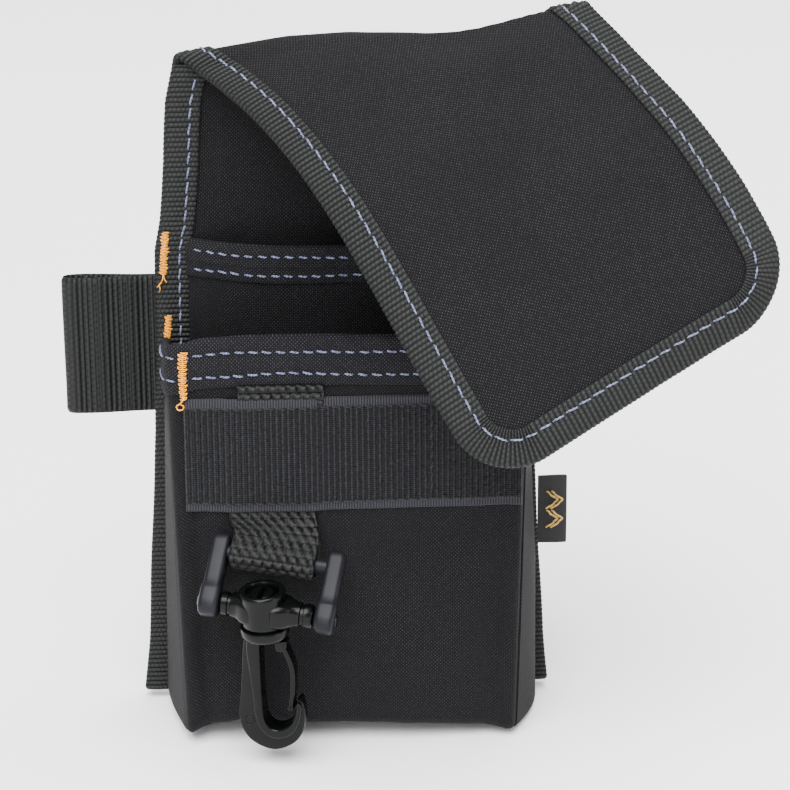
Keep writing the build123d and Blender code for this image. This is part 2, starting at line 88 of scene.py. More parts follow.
STITCH, STITCH_IN = 4.0, 6.5
RIB, RIB_STEPS, RIB_HIGH = 1.5, 5, 0.32
WEB_RIB, WEB_RIB_HIGH = 1.8, 0.3
WALL_SIDE, WALL_TURN, WALL_FRONT = 34, 7, 170
WALL_COLS = 2 * (WALL_SIDE + WALL_TURN) + WALL_FRONT
TOOL_LOOP_WIDTH, BELT_LOOP_WIDTH = 42.5, 50.0
LABEL_ROOT, LABEL_WIDE, LABEL_LOW, LABEL_HIGH, LABEL_GAP = 59.2, 8.7, -76.5, -54.5, 0.12
FRONTWARD, REARWARD, DOWN = np.array([[0, -1.0, 0], [0, 1.0, 0], [0, 0, -1.0]])
CORNER = np.radians([0, 30, 60, 90])


# ------------------------------------------------------------------ mesh helpers
def unit(v):
    """Vectors scaled to length one."""
    return v / np.maximum(np.linalg.norm(v, axis=-1, keepdims=True), 1e-9)


def clamp(v):
    """Values held between 0 and 1."""
    return np.clip(v, 0, 1)


def quads(rows, cols, close_cols=False):
    """Faces of a grid of points, which may close on itself across its columns."""
    idx = np.arange(rows * cols).reshape(rows, cols)
    if close_cols:
        idx = np.c_[idx, idx[:, :1]]
    corners = [idx[:-1, :-1], idx[:-1, 1:], idx[1:, 1:], idx[1:, :-1]]
    return np.stack(corners, -1).reshape(-1, 4)


class Mesher:
    """Collects the closed shells of one piece, in millimetres, with weave coordinates."""

    def __init__(self):
        self.points, self.uvs, self.faces, self.count = [], [], [], 0

    def add(self, points, faces, uv=None):
        points = np.asarray(points, float).reshape(-1, 3)
        uv = np.zeros((len(points), 2)) if uv is None else np.asarray(uv, float).reshape(-1, 2)
        self.points.append(points)
        self.uvs.append(uv)
        self.faces += [[i + self.count for i in f] for f in faces]
        self.count += len(points)

    def slab(self, outer, inner, uv):
        """Sheet between two matching grids."""
        rows, cols = outer.shape[:2]
        n = rows * cols
        face = quads(rows, cols)
        idx = np.arange(n).reshape(rows, cols)
        rim = np.r_[idx[0], idx[1:, -1], idx[-1, -2::-1], idx[-2:0:-1, 0]]
        after = np.roll(rim, -1)
        sides = np.stack([after, rim, rim + n, after + n], -1)
        faces = face.tolist() + (face[:, ::-1] + n).tolist() + sides.tolist()
        self.add(np.concatenate([outer.reshape(-1, 3), inner.reshape(-1, 3)]), faces,
                 np.concatenate([uv.reshape(-1, 2)] * 2))

    def sweep(self, rings, uv=None):
        """Closed rings joined end to end, with both ends capped."""
        n, k = rings.shape[:2]
        faces = quads(n, k, True).tolist()
        faces += [list(range(k))[::-1], list(range((n - 1) * k, n * k))]
        self.add(rings, faces, uv)

    def tube(self, path, radius, sides=6, taper=True):
        """Round thread along a path."""
        path = np.asarray(path, float)
        along = unit(np.gradient(path, axis=0))
        side = unit(np.cross(along, np.where(np.abs(along[:, 2:]) > 0.9, [1.0, 0, 0], [0, 0, 1.0])))
        r = np.full(len(path), float(radius))
        if taper:
            r[[0, -1]] *= 0.45
        self.strand(path, side, np.cross(along, side), r, sides)

    def strand(self, path, side, over, radius, sides):
        """Rings of a given radius round each point of a path, across its two side directions."""
        turn = np.linspace(0, 2 * math.pi, sides, endpoint=False)[:, None]
        around = side[:, None] * np.cos(turn) + over[:, None] * np.sin(turn)
        self.sweep(path[:, None] + radius[:, None, None] * around)


def mesh_object(name, mesh, material, crease=35):
    """A linked object made from a Mesher, in metres, with its weave coordinates."""
    points, uv = np.concatenate(mesh.points), np.concatenate(mesh.uvs)
    data = bpy.data.meshes.new(name)
    data.from_pydata((points * MM).tolist(), [], mesh.faces)
    work = bmesh.new()
    work.from_mesh(data)
    bmesh.ops.recalc_face_normals(work, faces=work.faces)
    work.to_mesh(data)
    work.free()
    layer = data.uv_layers.new(name="Weave")
    corner = np.empty(len(data.loops), np.int32)
    data.loops.foreach_get("vertex_index", corner)
    layer.data.foreach_set("uv", uv[corner].astype(np.float32).ravel())
    data.materials.append(material)
    data.shade_smooth()
    data.set_sharp_from_angle(angle=math.radians(crease))
    piece = bpy.data.objects.new(name, data)
    bpy.context.scene.collection.objects.link(piece)
    return piece


def make(name, mesh, material, slot, body="pouch", nodes=(), crease=35):
    """A finished piece of the pouch, riding on a body, or with its placement baked into its mesh when its
    body is the fold.
    """
    piece = mesh_object(name, mesh, material, crease)
    if body == "fold":
        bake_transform(piece)
    else:
        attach(piece, body)
    if nodes:
        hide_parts(*nodes)


def slab_piece(name, outer, inner, uv, material, slot, **how):
    """A piece that is one sheet between two grids; how goes to make()."""
    m = Mesher()
    m.slab(outer, inner, uv)
    make(name, m, material, slot, **how)


def ripple(points, scale, seed):
    """Smooth noise at each point, about -0.7 to 0.7."""
    flat = points.reshape(-1, 3) / scale + seed
    return np.array([noise.noise(Vector(p)) for p in flat]).reshape(points.shape[:-1])


def spline(points, step):
    """Catmull-Rom curve through points, resampled evenly."""
    p = np.asarray(points, float)
    p = np.vstack([2 * p[0] - p[1], p, 2 * p[-1] - p[-2]])
    t = np.linspace(0, 1, 24, endpoint=False)[:, None]
    out = []
    for a, b, c, d in zip(p, p[1:], p[2:], p[3:]):
        out.append(0.5 * (2 * b + (c - a) * t + (2 * a - 5 * b + 4 * c - d) * t ** 2
                          + (3 * b - a - 3 * c + d) * t ** 3))
    return resample(np.vstack(out + [p[-2:-1]]), step)


def arc_length(points):
    """Length along a line at each of its points."""
    return np.r_[0, np.cumsum(np.linalg.norm(np.diff(points, axis=0), axis=1))]


def lookup(at, s, values):
    """Rows of values known at lengths s, read off at other lengths."""
    return np.stack([np.interp(at, s, values[:, k]) for k in range(values.shape[1])], -1)


def resample(points, step):
    s = arc_length(points)
    return lookup(np.linspace(0, s[-1], max(int(round(s[-1] / step)), 2) + 1), s, points)


def stitches(mesh, path, normal, seed, pitch=STITCH, share=0.7, ply=0.22):
    """Row of two-ply stitches lying on a path; each dips into the cloth at its ends."""
    s = arc_length(path)
    normal = np.broadcast_to(normal, path.shape)
    rng = np.random.default_rng(seed)
    t = np.linspace(0, 1, 9)
    radius = ply * np.where((t == 0) | (t == 1), 0.5, 1.0)
    for k in range(int(s[-1] / pitch)):
        start = (k + 0.17 + rng.uniform(-0.04, 0.04)) * pitch
        at = start + t * pitch * share
        centre, up = lookup(at, s, path), unit(lookup(at, s, normal))
        side = unit(np.cross(np.gradient(centre, axis=0), up))
        slant = rng.uniform(0.10, 0.20)
        centre = centre + up * (0.42 * np.sin(math.pi * t) ** 0.6 - 0.22)[:, None]
        centre = centre + side * ((t - 0.5) * slant * pitch * 0.6)[:, None]
        along = unit(np.gradient(centre, axis=0))
        side = unit(np.cross(along, up))
        over = np.cross(side, along)
        for strand in (0.0, math.pi):
            twist = (strand + 2 * math.pi * 1.6 * t)[:, None]
            line = centre + 0.8 * ply * (side * np.cos(twist) + over * np.sin(twist))
            mesh.strand(line, side, over, radius, 5)


def zigzag(mesh, path, normal, width, seed, step=0.5):
    """Bartack: dense zigzag thread over a bar."""
    rng = np.random.default_rng(seed)
    line = resample(path, step)
    side = unit(np.cross(np.gradient(line, axis=0), normal))
    points = []
    for i in range(len(line)):
        half = width / 2 * rng.uniform(0.6, 1.12)
        sign = 1 if i % 2 else -1
        jitter = rng.uniform(-0.1, 0.1)
        for f, rise in ((-0.5, 0.42), (0.35, 0.5), (1.0, 0.12)):
            points.append(line[i] + side[i] * sign * half * f + normal * (rise + jitter))
    mesh.tube(spline(points, 0.3), 0.17, sides=5, taper=False)
    mesh.tube(resample(path, 1.0) + normal * 0.05, width * 0.16)


# ---------------------------------------------------------------------- materials
class Paint:
    """A principled material whose colour and bump come from nodes."""

    def __init__(self, name, rough, **sockets):
        self.material = bpy.data.materials.new(name)
        self.material.use_nodes = True
        self.tree = self.material.node_tree
        self.shader = self.tree.nodes["Principled BSDF"]
        self.shader.inputs["Roughness"].default_value = rough
        for key, value in sockets.items():
            self.shader.inputs[key.replace("_", " ")].default_value = value

    def node(self, kind, inputs=None, **settings):
        n = self.tree.nodes.new("ShaderNode" + kind)
        for key, value in settings.items():
            setattr(n, key, value)
        for key, value in (inputs or {}).items():
            if isinstance(value, bpy.types.NodeSocket):
                self.tree.links.new(value, n.inputs[key])
            else:
                n.inputs[key].default_value = value
        return n

    def math(self, operation, *values):
        return self.node("Math", dict(enumerate(values)), operation=operation).outputs[0]

    def times(self, a, b):
        return self.math("MULTIPLY", a, b)

    def times_plus(self, a, b, c):
        return self.math("MULTIPLY_ADD", a, b, c)

    def uv(self):
        split = self.node("SeparateXYZ", {0: self.node("UVMap", uv_map="Weave").outputs[0]})
        return split.outputs[0], split.outputs[1]

    def noise(self, scale, detail=2.0, rough=0.5):
        place = self.node("TexCoord").outputs["Object"]
        sockets = {"Vector": place, "Scale": scale, "Detail": detail, "Roughness": rough}
        return self.node("TexNoise", sockets).outputs[0]

    def ramp(self, factor, *stops):
        n = self.node("ValToRGB", {0: factor})
        while len(n.color_ramp.elements) < len(stops):
            n.color_ramp.elements.new(0.5)
        for element, (at, colour) in zip(n.color_ramp.elements, stops):
            element.position = at
            element.color = (*colour, 1.0)
        return n.outputs[0]

    def wave(self, value, pitch, power=1.0):
        """Rounded ridges of a pitch, 0 in the grooves."""
        s = self.math("ABSOLUTE", self.math("SINE", self.times(value, math.pi / pitch)))
        return s if power == 1.0 else self.math("POWER", s, power)

    def weave(self, pitch, squash=1.0):
        """Plain weave: height of the warp where it is on top, of the weft, and a chance per cell."""
        u, v = self.uv()
        su = self.math("SINE", self.times(u, math.pi / pitch))
        sv = self.math("SINE", self.times(v, math.pi / (pitch * squash)))
        a, b = self.math("ABSOLUTE", su), self.math("ABSOLUTE", sv)
        over = self.math("GREATER_THAN", self.times(su, sv), 0.0)
        warp = self.times(a, self.math("POWER", b, 0.5))
        weft = self.times(b, self.math("POWER", a, 0.5))
        cell = self.node("CombineXYZ", {
            0: self.math("FLOOR", self.math("DIVIDE", u, pitch)),
            1: self.math("FLOOR", self.math("DIVIDE", v, pitch * squash))})
        chance = self.node("TexWhiteNoise", {"Vector": cell.outputs[0]}).outputs[0]
        return self.times(warp, over), self.times(weft, self.math("SUBTRACT", 1.0, over)), chance

    def finish(self, colour, height=None, depth=0.2, strength=0.8):
        self.tree.links.new(colour, self.shader.inputs["Base Color"])
        if height is not None:
            bump = self.node("Bump", {"Strength": strength, "Distance": depth * MM, "Height": height})
            self.tree.links.new(bump.outputs[0], self.shader.inputs["Normal"])
        return self.material


def cloth(name, dark, light, glint):
    """Plain-woven polyester; the threads that run across carry painted highlights in staggered dots, and the
    weave between them is painted dark as shade.
    """
    p = Paint(name, 0.75, Sheen_Weight=0.015, Sheen_Roughness=0.5, Specular_IOR_Level=0.1)
    warp, weft, chance = p.weave(0.54)
    wide = p.noise(30.0, 3.0)
    # Painted highlight: where the warp lies on top, its colour runs up to the glint colour; the weft stays
    # dark and the grooves darkest, as painted shade.
    lit = p.times(warp, p.times_plus(chance, 0.35, 0.65))
    tone = p.times_plus(weft, 0.1, p.math("POWER", lit, 1.5))
    tone = p.times(tone, p.times_plus(wide, 0.6, 0.7))
    height = p.times_plus(weft, 0.7, warp)
    lift = p.times_plus(p.noise(2600.0, 1.0), 0.3, height)
    return p.finish(p.ramp(tone, (0.0, dark), (0.55, light), (1.0, glint)), lift, 0.22)


def ribbed(name, dark, light, rough=0.62, nub=1.35):
    """Narrow woven tape: its ribs are in the mesh; each rib is broken into staggered nubs, painted lighter on
    their tops and darker in the grooves between them (painted highlight and painted shade).
    """
    p = Paint(name, rough, Specular_IOR_Level=0.16)
    u, v = p.uv()
    row = p.math("FLOOR", p.math("DIVIDE", v, RIB))
    shift = p.times(p.math("MODULO", row, 2.0), 0.5 * nub)
    across = p.wave(p.math("ADD", u, shift), nub, 0.6)
    rib = p.wave(v, RIB, 0.9)
    grain = p.noise(1100.0, 2.0)
    knots = p.times(rib, p.times_plus(across, 0.7, 0.3))
    # Painted highlight and shade: the colour is lighter on the nubs' tops and darker in the grooves, with
    # random grain.
    tone = p.times(knots, p.times_plus(grain, 0.9, 0.5))
    return p.finish(p.ramp(tone, (0.12, dark), (0.9, light)),
                    p.times_plus(grain, 0.25, knots), 0.28)


def thread(name, dark, light, rough=0.55):
    p = Paint(name, rough, Sheen_Weight=0.05, Specular_IOR_Level=0.25)
    grain = p.noise(1500.0, 2.0)
    return p.finish(p.ramp(grain, (0.35, dark), (0.65, light)), grain, 0.06)


def plastic(name, dark, light, rough, gloss):
    """Moulded nylon: fine grain, soft rubbed patches."""
    p = Paint(name, rough, Specular_IOR_Level=gloss)
    grain, patch = p.noise(2200.0, 2.0), p.noise(160.0, 3.0)
    mix = p.times_plus(patch, 0.8, p.times(grain, 0.2))
    return p.finish(p.ramp(mix, (0.3, dark), (0.75, light)),
                    p.times_plus(patch, 0.5, grain), 0.035, 0.6)


def loop_pile():
    """Loop side of a touch fastener: wales of small loops, selvedge above and below; the loops carry painted
    highlights and the gaps between wales painted shade.
    """
    p = Paint("loop_pile", 0.85, Sheen_Weight=0.04, Specular_IOR_Level=0.12)
    u, v = p.uv()
    off_middle = p.math("ABSOLUTE", p.math("SUBTRACT", v, (LOOP_TOP + LOOP_LOW) / 2))
    edge = p.math("GREATER_THAN", off_middle, (LOOP_TOP - LOOP_LOW) / 2 - SELVEDGE)
    speckle = p.noise(1300.0, 2.0, 0.7)
    wale = p.wave(u, 1.65, 0.8)
    chain = p.times(p.wave(v, 0.62, 1.5), p.wave(p.math("ADD", u, 0.4), 0.83, 1.5))
    # Painted highlight: small bright dots on the loops, in chains and in random specks; the wales are painted
    # darker between them as shade, and the selvedge ribs lighter on their crests.
    loops = p.times_plus(chain, 0.6, p.math("POWER", speckle, 3.0))
    field = p.times(loops, p.times_plus(wale, 1.0, 0.25))
    rib = p.times_plus(p.wave(u, 0.8), 0.75, 0.2)
    out = p.math("SUBTRACT", 1.0, edge)
    tone = p.math("ADD", p.times(field, out), p.times(rib, edge))
    colour = p.ramp(tone, (0.1, (0.0012, 0.0012, 0.0014)), (0.5, (0.010, 0.010, 0.0118)),
                    (1.0, (0.027, 0.027, 0.033)))
    return p.finish(colour, p.times_plus(wale, 0.3, speckle), 0.45, 0.9)


def braid():
    """Glossy filament yarns of the heavy webbing, painted lighter on their crests and darker in their grooves
    (painted highlight and shade) over random grain.
    """
    p = Paint("braid_yarn", 0.36, Specular_IOR_Level=0.25)
    u, v = p.uv()
    slope = p.math("ADD", p.times(u, 0.6), v)
    strands = p.wave(slope, 0.32)
    grain = p.noise(1300.0, 2.0)
    # Painted highlight and shade along the diagonal yarns, mixed with random grain.
    tone = p.times_plus(grain, 0.5, p.times(strands, 0.4))
    return p.finish(p.ramp(tone, (0.2, (0.0008, 0.0008, 0.001)), (0.9, (0.0055, 0.0058, 0.006))),
                    p.times_plus(grain, 0.6, strands), 0.1)


def satin(name, dark, light, pitch):
    p = Paint(name, 0.5, Sheen_Weight=0.04, Specular_IOR_Level=0.25)
    warp, weft, chance = p.weave(pitch, 0.6)
    height = p.math("ADD", warp, weft)
    # Painted highlight and shade: colour lighter where the threads rise, darker between them, with a random
    # tone per cell.
    tone = p.times_plus(chance, 0.4, p.times(height, 0.6))
    return p.finish(p.ramp(tone, (0.0, dark), (1.0, light)), height, 0.08)


def floor_paint():
    p = Paint("studio_floor", 0.7, Specular_IOR_Level=0.2)
    tone = p.noise(3.0, 2.0)
    return p.finish(p.ramp(tone, (0.0, (0.86, 0.86, 0.86)), (1.0, (0.9, 0.9, 0.9))))


# The third colour of each cloth is its painted glint, the colour of its painted highlights.
MAIN = cloth("main_cloth", (0.0003, 0.0003, 0.0005), (0.0125, 0.0122, 0.0142), (0.030, 0.029, 0.033))
HEM_CLOTH = cloth("hem_cloth", (0.0009, 0.0009, 0.0013), (0.0185, 0.0178, 0.0222), (0.040, 0.038, 0.046))
TAPE_CLOTH = ribbed("binding_tape", (0.0004, 0.0005, 0.0005), (0.0125, 0.0137, 0.0129))
WEB_CLOTH = ribbed("ribbed_webbing", (0.0004, 0.0005, 0.0005), (0.0095, 0.0103, 0.0099), 0.5, 1.9)
BLUE_THREAD = thread("grey_blue_thread", (0.045, 0.05, 0.09), (0.15, 0.165, 0.27))
DARK_THREAD = thread("black_thread", (0.0015, 0.0015, 0.002), (0.008, 0.008, 0.01))
ORANGE_THREAD = thread("orange_thread", (0.55, 0.17, 0.004), (0.85, 0.38, 0.02), 0.45)
GOLD_THREAD = thread("gold_thread", (0.30, 0.17, 0.03), (0.62, 0.42, 0.12), 0.4)
LOOP_PILE = loop_pile()
BRAID = braid()
LABEL_SATIN = satin("label_satin", (0.002, 0.002, 0.0025), (0.012, 0.012, 0.014), 0.35)
HOOK_FIELD = satin("hook_tape_field", (0.002, 0.002, 0.002), (0.010, 0.010, 0.012), 0.8)
YOKE_PLASTIC = plastic("yoke_nylon", (0.004, 0.004, 0.0055), (0.009, 0.009, 0.0118), 0.36, 0.1)
HOOK_PLASTIC = plastic("hook_nylon", (0.0007, 0.0008, 0.0008), (0.002, 0.0023, 0.0023), 0.24, 0.13)


# --------------------------------------------------------------- camera and light
def camera():
    azimuth, elevation, roll = (math.radians(a) for a in (-2.9, 19.31, -0.295))
    back = np.array([math.sin(azimuth) * math.cos(elevation),
                     -math.cos(azimuth) * math.cos(elevation), math.sin(elevation)])
    right = np.array([math.cos(azimuth), math.sin(azimuth), 0.0])
    up = np.cross(back, right)
    x = math.cos(roll) * right + math.sin(roll) * up
    y = -math.sin(roll) * right + math.cos(roll) * up
    eye = (np.array([14.42, -25.0, -20.27]) + 820.9 * back) * MM
    data = bpy.data.cameras.new("camera")
    data.sensor_width = 36.0
    data.lens = 126.77
    view = bpy.data.objects.new("camera", data)
    view.matrix_world = Matrix(np.vstack([np.column_stack([x, y, back, eye]), [0, 0, 0, 1]]))
    bpy.context.scene.collection.objects.link(view)
    bpy.context.scene.camera = view


def lamp(name, kind, power, towards, place=(0.0, 0.0, 0.0)):
    data = bpy.data.lights.new(name, kind)
    data.energy = power
    light = bpy.data.objects.new(name, data)
    light.location = place
    light.rotation_euler = Vector(towards).to_track_quat("-Z", "Y").to_euler()
    bpy.context.scene.collection.objects.link(light)
    return data


def area_light(name, place, size, power):
    """Soft light that faces the middle of the pouch."""
    data = lamp(name, "AREA", power, Vector((0.01, -0.03, -0.02)) - Vector(place), place)
    data.shape = "RECTANGLE"
    data.size, data.size_y = size


def studio():
    lamp("key", "SUN", 9.0, (0.16, 0.62, -1.0)).angle = math.radians(50)
    area_light("top", (0.3, 0.1, 1.3), (1.0, 0.7), 26)
    area_light("front", (-0.35, -1.2, 0.45), (0.5, 0.9), 9)
    area_light("fill", (1.1, -0.8, 0.3), (0.4, 0.9), 7)
    world = bpy.data.worlds.new("studio_world")
    world.use_nodes = True
    world.node_tree.nodes["Background"].inputs[0].default_value = (1, 1, 1, 1)
    world.node_tree.nodes["Background"].inputs[1].default_value = 0.75
    bpy.context.scene.world = world
    side = np.array([-6000.0, 6000.0])
    top = np.stack([*np.meshgrid(side, side), np.full((2, 2), BACK_BOTTOM - 3.5)], -1)
    floor = Mesher()
    floor.slab(top, top + DOWN * 5.0, np.zeros((2, 2, 2)))
    ground = mesh_object("studio_floor", floor, floor_paint())


# ------------------------------------------------------------- taped panel edges
def back_half(z):
    return np.interp(z, [z for _, z in BACK_OUTLINE], [x for x, _ in BACK_OUTLINE])


def tape_section(half):
    """U of tape, a closed outline: (inset, lift, the rib's direction along both, the rib's strength)
    at each point, and the length round it."""
    outer = [(9.5, half + 0.1, 0), (9.42, half + 0.62, 0.3), (9.0, half + 0.85, 1), (8.2, half + 0.9, 1),
             (7.4, half + 0.88, 1), (6.5, half + 0.70, 1), (5.5, half + 0.9, 1), (3.0, half + 1.0, 1),
             (0.7, half + 0.86, 1), (-0.2, half + 0.6, 1), (-0.72, half, 1), (-0.9, half * 0.4, 1)]
    front = [(inset, lift, -min(max(0.0, (0.3 - inset) / 0.9), 1.0), 1.0 if inset > -0.5 else 0.3, strength)
             for inset, lift, strength in outer]
    rear = [(inset, -lift, along, -up, strength) for inset, lift, along, up, strength in reversed(front)]
    inner = [(9.4, -half + 0.4, 0, 0, 0), (0.4, -half + 0.4, 0, 0, 0),
             (0.4, half - 0.4, 0, 0, 0), (9.4, half - 0.4, 0, 0, 0)]
    section = np.array(front + rear + inner, float)
    return section, arc_length(section[:, :2])


def bind(mesh, place, length, half):
    """Ribbed tape folded over an edge; place(s, inset, lift) gives its points."""
    section, u = tape_section(half)
    s = np.linspace(0, length, int(length / RIB * RIB_STEPS) + 1)[:, None]
    rib = RIB_HIGH * (np.abs(np.sin(math.pi * s / RIB)) ** 0.7 - 0.6)
    inset = section[:, 0] + rib * section[:, 4] * section[:, 2]
    lift = section[:, 1] + rib * section[:, 4] * section[:, 3]
    s = np.broadcast_to(s, inset.shape)
    mesh.sweep(place(s, inset, lift), np.stack([np.broadcast_to(u, s.shape), s], -1))


def back_edge(side):
    """place() along one long edge of the back panel, from the bottom up."""
    top = BACK_TOP + 0.3 - (BACK_TOP_DROP if side < 0 else 0.0)
    z = np.linspace(BACK_BOTTOM - 0.6, top, 300)
    line = np.stack([side * back_half(z), np.full_like(z, BACK_MID), z], 1)
    s0 = arc_length(line)

    def place(s, inset, lift):
        at = lookup(s, s0, line)
        sway = 0.25 * np.sin(s / 17.0) + 0.15 * np.sin(s / 7.3 + side)
        at[..., 0] += -side * (inset + sway)
        at[..., 1] -= lift
        return at
    return place, s0[-1]


def back_bottom():
    """place() along the lower edge, between the two side tapes."""
    reach = BACK_OUTLINE[0][0] - TAPE_SHOWS - 0.2

    def place(s, inset, lift):
        return np.stack([s - reach, BACK_MID - lift, BACK_BOTTOM + inset], -1)
    return place, 2 * reach


def back():
    share = np.linspace(-1, 1, 110)
    top = BACK_TOP + 0.2 - BACK_TOP_DROP * ((1 - share) / 2) ** 2
    zz = BACK_BOTTOM + (top - BACK_BOTTOM) * np.linspace(0, 1, 150)[:, None]
    x = share * (back_half(zz) - 0.3)
    mid = np.stack([x, np.full_like(x, BACK_MID), zz], -1)
    calm = (1 - np.abs(share) ** 6) * clamp((BACK_TOP - zz) / 15)
    wave = ripple(mid * [1, 1, 0.6], 26.0, 3.1) * 0.9 * calm
    slab_piece("back_cloth", mid + FRONTWARD * (BACK_HALF_THICK + wave)[..., None],
               mid - FRONTWARD * (BACK_HALF_THICK - 0.5 * wave)[..., None], np.stack([x, zz], -1),
               MAIN, "fabric", nodes=["back_panel"])
    rows = Mesher()
    long_row = {"pitch": 4.4, "share": 0.8, "ply": 0.2}
    for name, (place, length), seed, count, look in (("left", back_edge(-1), 10, 400, long_row),
                                                     ("right", back_edge(1), 12, 400, long_row),
                                                     ("bottom", back_bottom(), 31, 200, {})):
        tape = Mesher()
        bind(tape, place, length, BACK_HALF_THICK)
        make(f"back_tape_{name}", tape, TAPE_CLOTH, "binding_tape", nodes=[f"back_binding_{name}"])
        s = np.linspace(1.0, length - 1, count)
        for face in (1, -1):
            lift = np.full_like(s, face * (BACK_HALF_THICK + 0.85))
            stitches(rows, place(s, np.full_like(s, STITCH_IN), lift), face * FRONTWARD, seed + face, **look)
    make("back_stitches", rows, BLUE_THREAD, "binding_tape")


# ------------------------------------------------------------------- main pocket
def front_y(z):
    """Depth of the front panel's flat face."""
    return MOUTH_FRONT + (MOUTH - z) / (MOUTH - BACK_BOTTOM) * (FLOOR_FRONT - MOUTH_FRONT)


def front_half(z):
    """Half the width of the front panel."""
    return MOUTH_HALF + (MOUTH - z) / (MOUTH - BACK_BOTTOM) * (FLOOR_HALF - MOUTH_HALF)


def relief(x, z):
    """How far the front cloth swells out (+) or dips (-) from its flat face."""
    half = front_half(z)
    t = (x + half) / (2 * half)
    swell = 0.9 * np.sin(math.pi * clamp(t)) * clamp((MOUTH - z) / 60)
    from_left, from_right = x + half, half - x
    low = clamp((-18 - z) / 50)
    valley = 1.5 * np.exp(-((from_left - 6.5) / 3.6) ** 2) * low
    valley += 0.9 * np.exp(-((from_right - 7.5) / 3.5) ** 2) * low
    points = np.stack([x, np.zeros_like(x), z], -1)
    soft = ripple(points * [1, 1, 0.55], 17.0, 7.7) * 1.1 * low + ripple(points, 6.0, 1.3) * 0.18
    return swell - valley + soft


def outward(points):
    """Level normals of a grid of points."""
    tangent = np.gradient(points, axis=1)
    tangent[..., 2] = 0
    return unit(np.cross(tangent, [0, 0, 1.0]))


def wall_xy(z):
    """Outer face of the pocket wall at a (rows, WALL_COLS) array of heights: points, normals."""
    low = (MOUTH - z) / (MOUTH - BACK_BOTTOM)
    x_front, y_front, y_rear = front_half(z), front_y(z), TAPE_FRONT + 0.5
    depth = y_front - y_rear
    radius = 2.6 + 3.4 * clamp((z + 60) / 60) ** 1.5
    reach = 1 - radius / np.abs(depth)
    x, y = np.empty(z.shape), np.empty(z.shape)
    steps, turns = np.arange(WALL_SIDE), np.arange(WALL_TURN) / WALL_TURN
    for sign, x_rear, swell, side_at, side_t, turn_at, t in (
            (-1, 53.4 + 2.6 * low, 1.3, 0, steps / WALL_SIDE, WALL_SIDE, turns),
            (1, 53.8 + 3.4 * low, 3.4, WALL_COLS - WALL_SIDE, 1 - steps / (WALL_SIDE - 1),
             WALL_SIDE + WALL_TURN + WALL_FRONT, 1 - turns - 1 / WALL_TURN)):
        side, turn = slice(side_at, side_at + WALL_SIDE), slice(turn_at, turn_at + WALL_TURN)
        tt = side_t * reach[:, side]
        bulge = swell * np.sin(math.pi * tt ** 0.8) * np.clip(low[:, side] * 1.6, 0.15, 1)
        x[:, side] = sign * (x_rear[:, side] + (x_front - x_rear)[:, side] * tt + bulge)
        y[:, side] = y_rear + depth[:, side] * tt
        ax, ay = (x_rear + (x_front - x_rear) * reach)[:, turn], (y_rear + depth * reach)[:, turn]
        bx, by = (x_front - radius)[:, turn], y_front[:, turn]
        cx, cy = x_front[:, turn] + 0.3, by - 0.3
        x[:, turn] = sign * (ax * (1 - t) ** 2 + cx * 2 * t * (1 - t) + bx * t * t)
        y[:, turn] = ay * (1 - t) ** 2 + cy * 2 * t * (1 - t) + by * t * t
    mid = slice(WALL_SIDE + WALL_TURN, WALL_SIDE + WALL_TURN + WALL_FRONT)
    flat_half = (x_front - radius)[:, mid]
    x[:, mid] = (2 * np.linspace(0, 1, WALL_FRONT) - 1) * flat_half
    inside = clamp((flat_half - np.abs(x[:, mid])) / 3.0)
    y[:, mid] = y_front[:, mid] - relief(x[:, mid], z[:, mid]) * inside
    points = np.stack([x, y, z], -1)
    return points, outward(points)


def mouth_z(corner_drop=2.6):
    """Height of the mouth's edge at each column of the wall."""
    index = np.arange(WALL_COLS)
    t = clamp((index - WALL_SIDE - WALL_TURN) / (WALL_FRONT - 1))
    z = MOUTH + 0.4 - 1.2 * np.abs(2 * t - 1) ** 3 + 0.5 * np.sin(5.2 * t + 0.6)
    left = clamp((WALL_SIDE - index) / WALL_SIDE)
    right = clamp((index + WALL_SIDE - WALL_COLS) / WALL_SIDE)
    corner = clamp((WALL_SIDE + WALL_TURN + 8 - index) / 16)
    return z - corner_drop * corner ** 1.5 - 6.0 * left - 6.0 * right


def floor_z(x):
    """Height of the pocket's lower edge: it lifts left of the middle and hangs at the corners."""
    return BACK_BOTTOM + 2.8 + np.interp(x, [-60, -50, -44, -32, -12, 12, 38, 60],
                                         [-0.6, -0.9, 2.0, 4.4, 3.1, 2.2, 0.4, -4.0])


def column_length(points):
    """Length along each row of a grid of points."""
    step = np.linalg.norm(np.diff(points, axis=1), axis=2)
    return np.concatenate([np.zeros((len(points), 1)), np.cumsum(step, axis=1)], axis=1)


def hem_section(depth, outer, inner):
    """Closed outline of a folded band: (drop from the mouth, lift)."""
    front = [(depth, outer - 0.85), (depth - 0.15, outer - 0.25), (depth - 0.7, outer)]
    front += [(d, outer + puff) for d, puff in
              ((depth - 2.4, 0.05), (depth - 3.6, -0.24), (depth - 4.8, 0.08), (depth / 2, 0.22),
               (5.2, 0.1), (3.8, -0.24), (2.5, 0.06))]
    top = [(1.2, outer), (0.2, outer - 0.15), (-0.5, outer - 0.6), (-0.9, (outer + inner) / 2 + 0.4),
           (-0.95, (outer + inner) / 2), (-0.9, (outer + inner) / 2 - 0.4), (-0.5, inner + 0.6),
           (0.2, inner + 0.15), (1.2, inner)]
    rear = [(4, inner), (depth / 2, inner), (depth - 1, inner), (depth, inner + 0.8)]
    core = [(depth - 0.5, inner + 0.85), (0.6, inner + 0.85), (0.6, outer - 0.85),
            (depth - 0.5, outer - 0.85)]
    return np.array(front + top + rear + core, float)


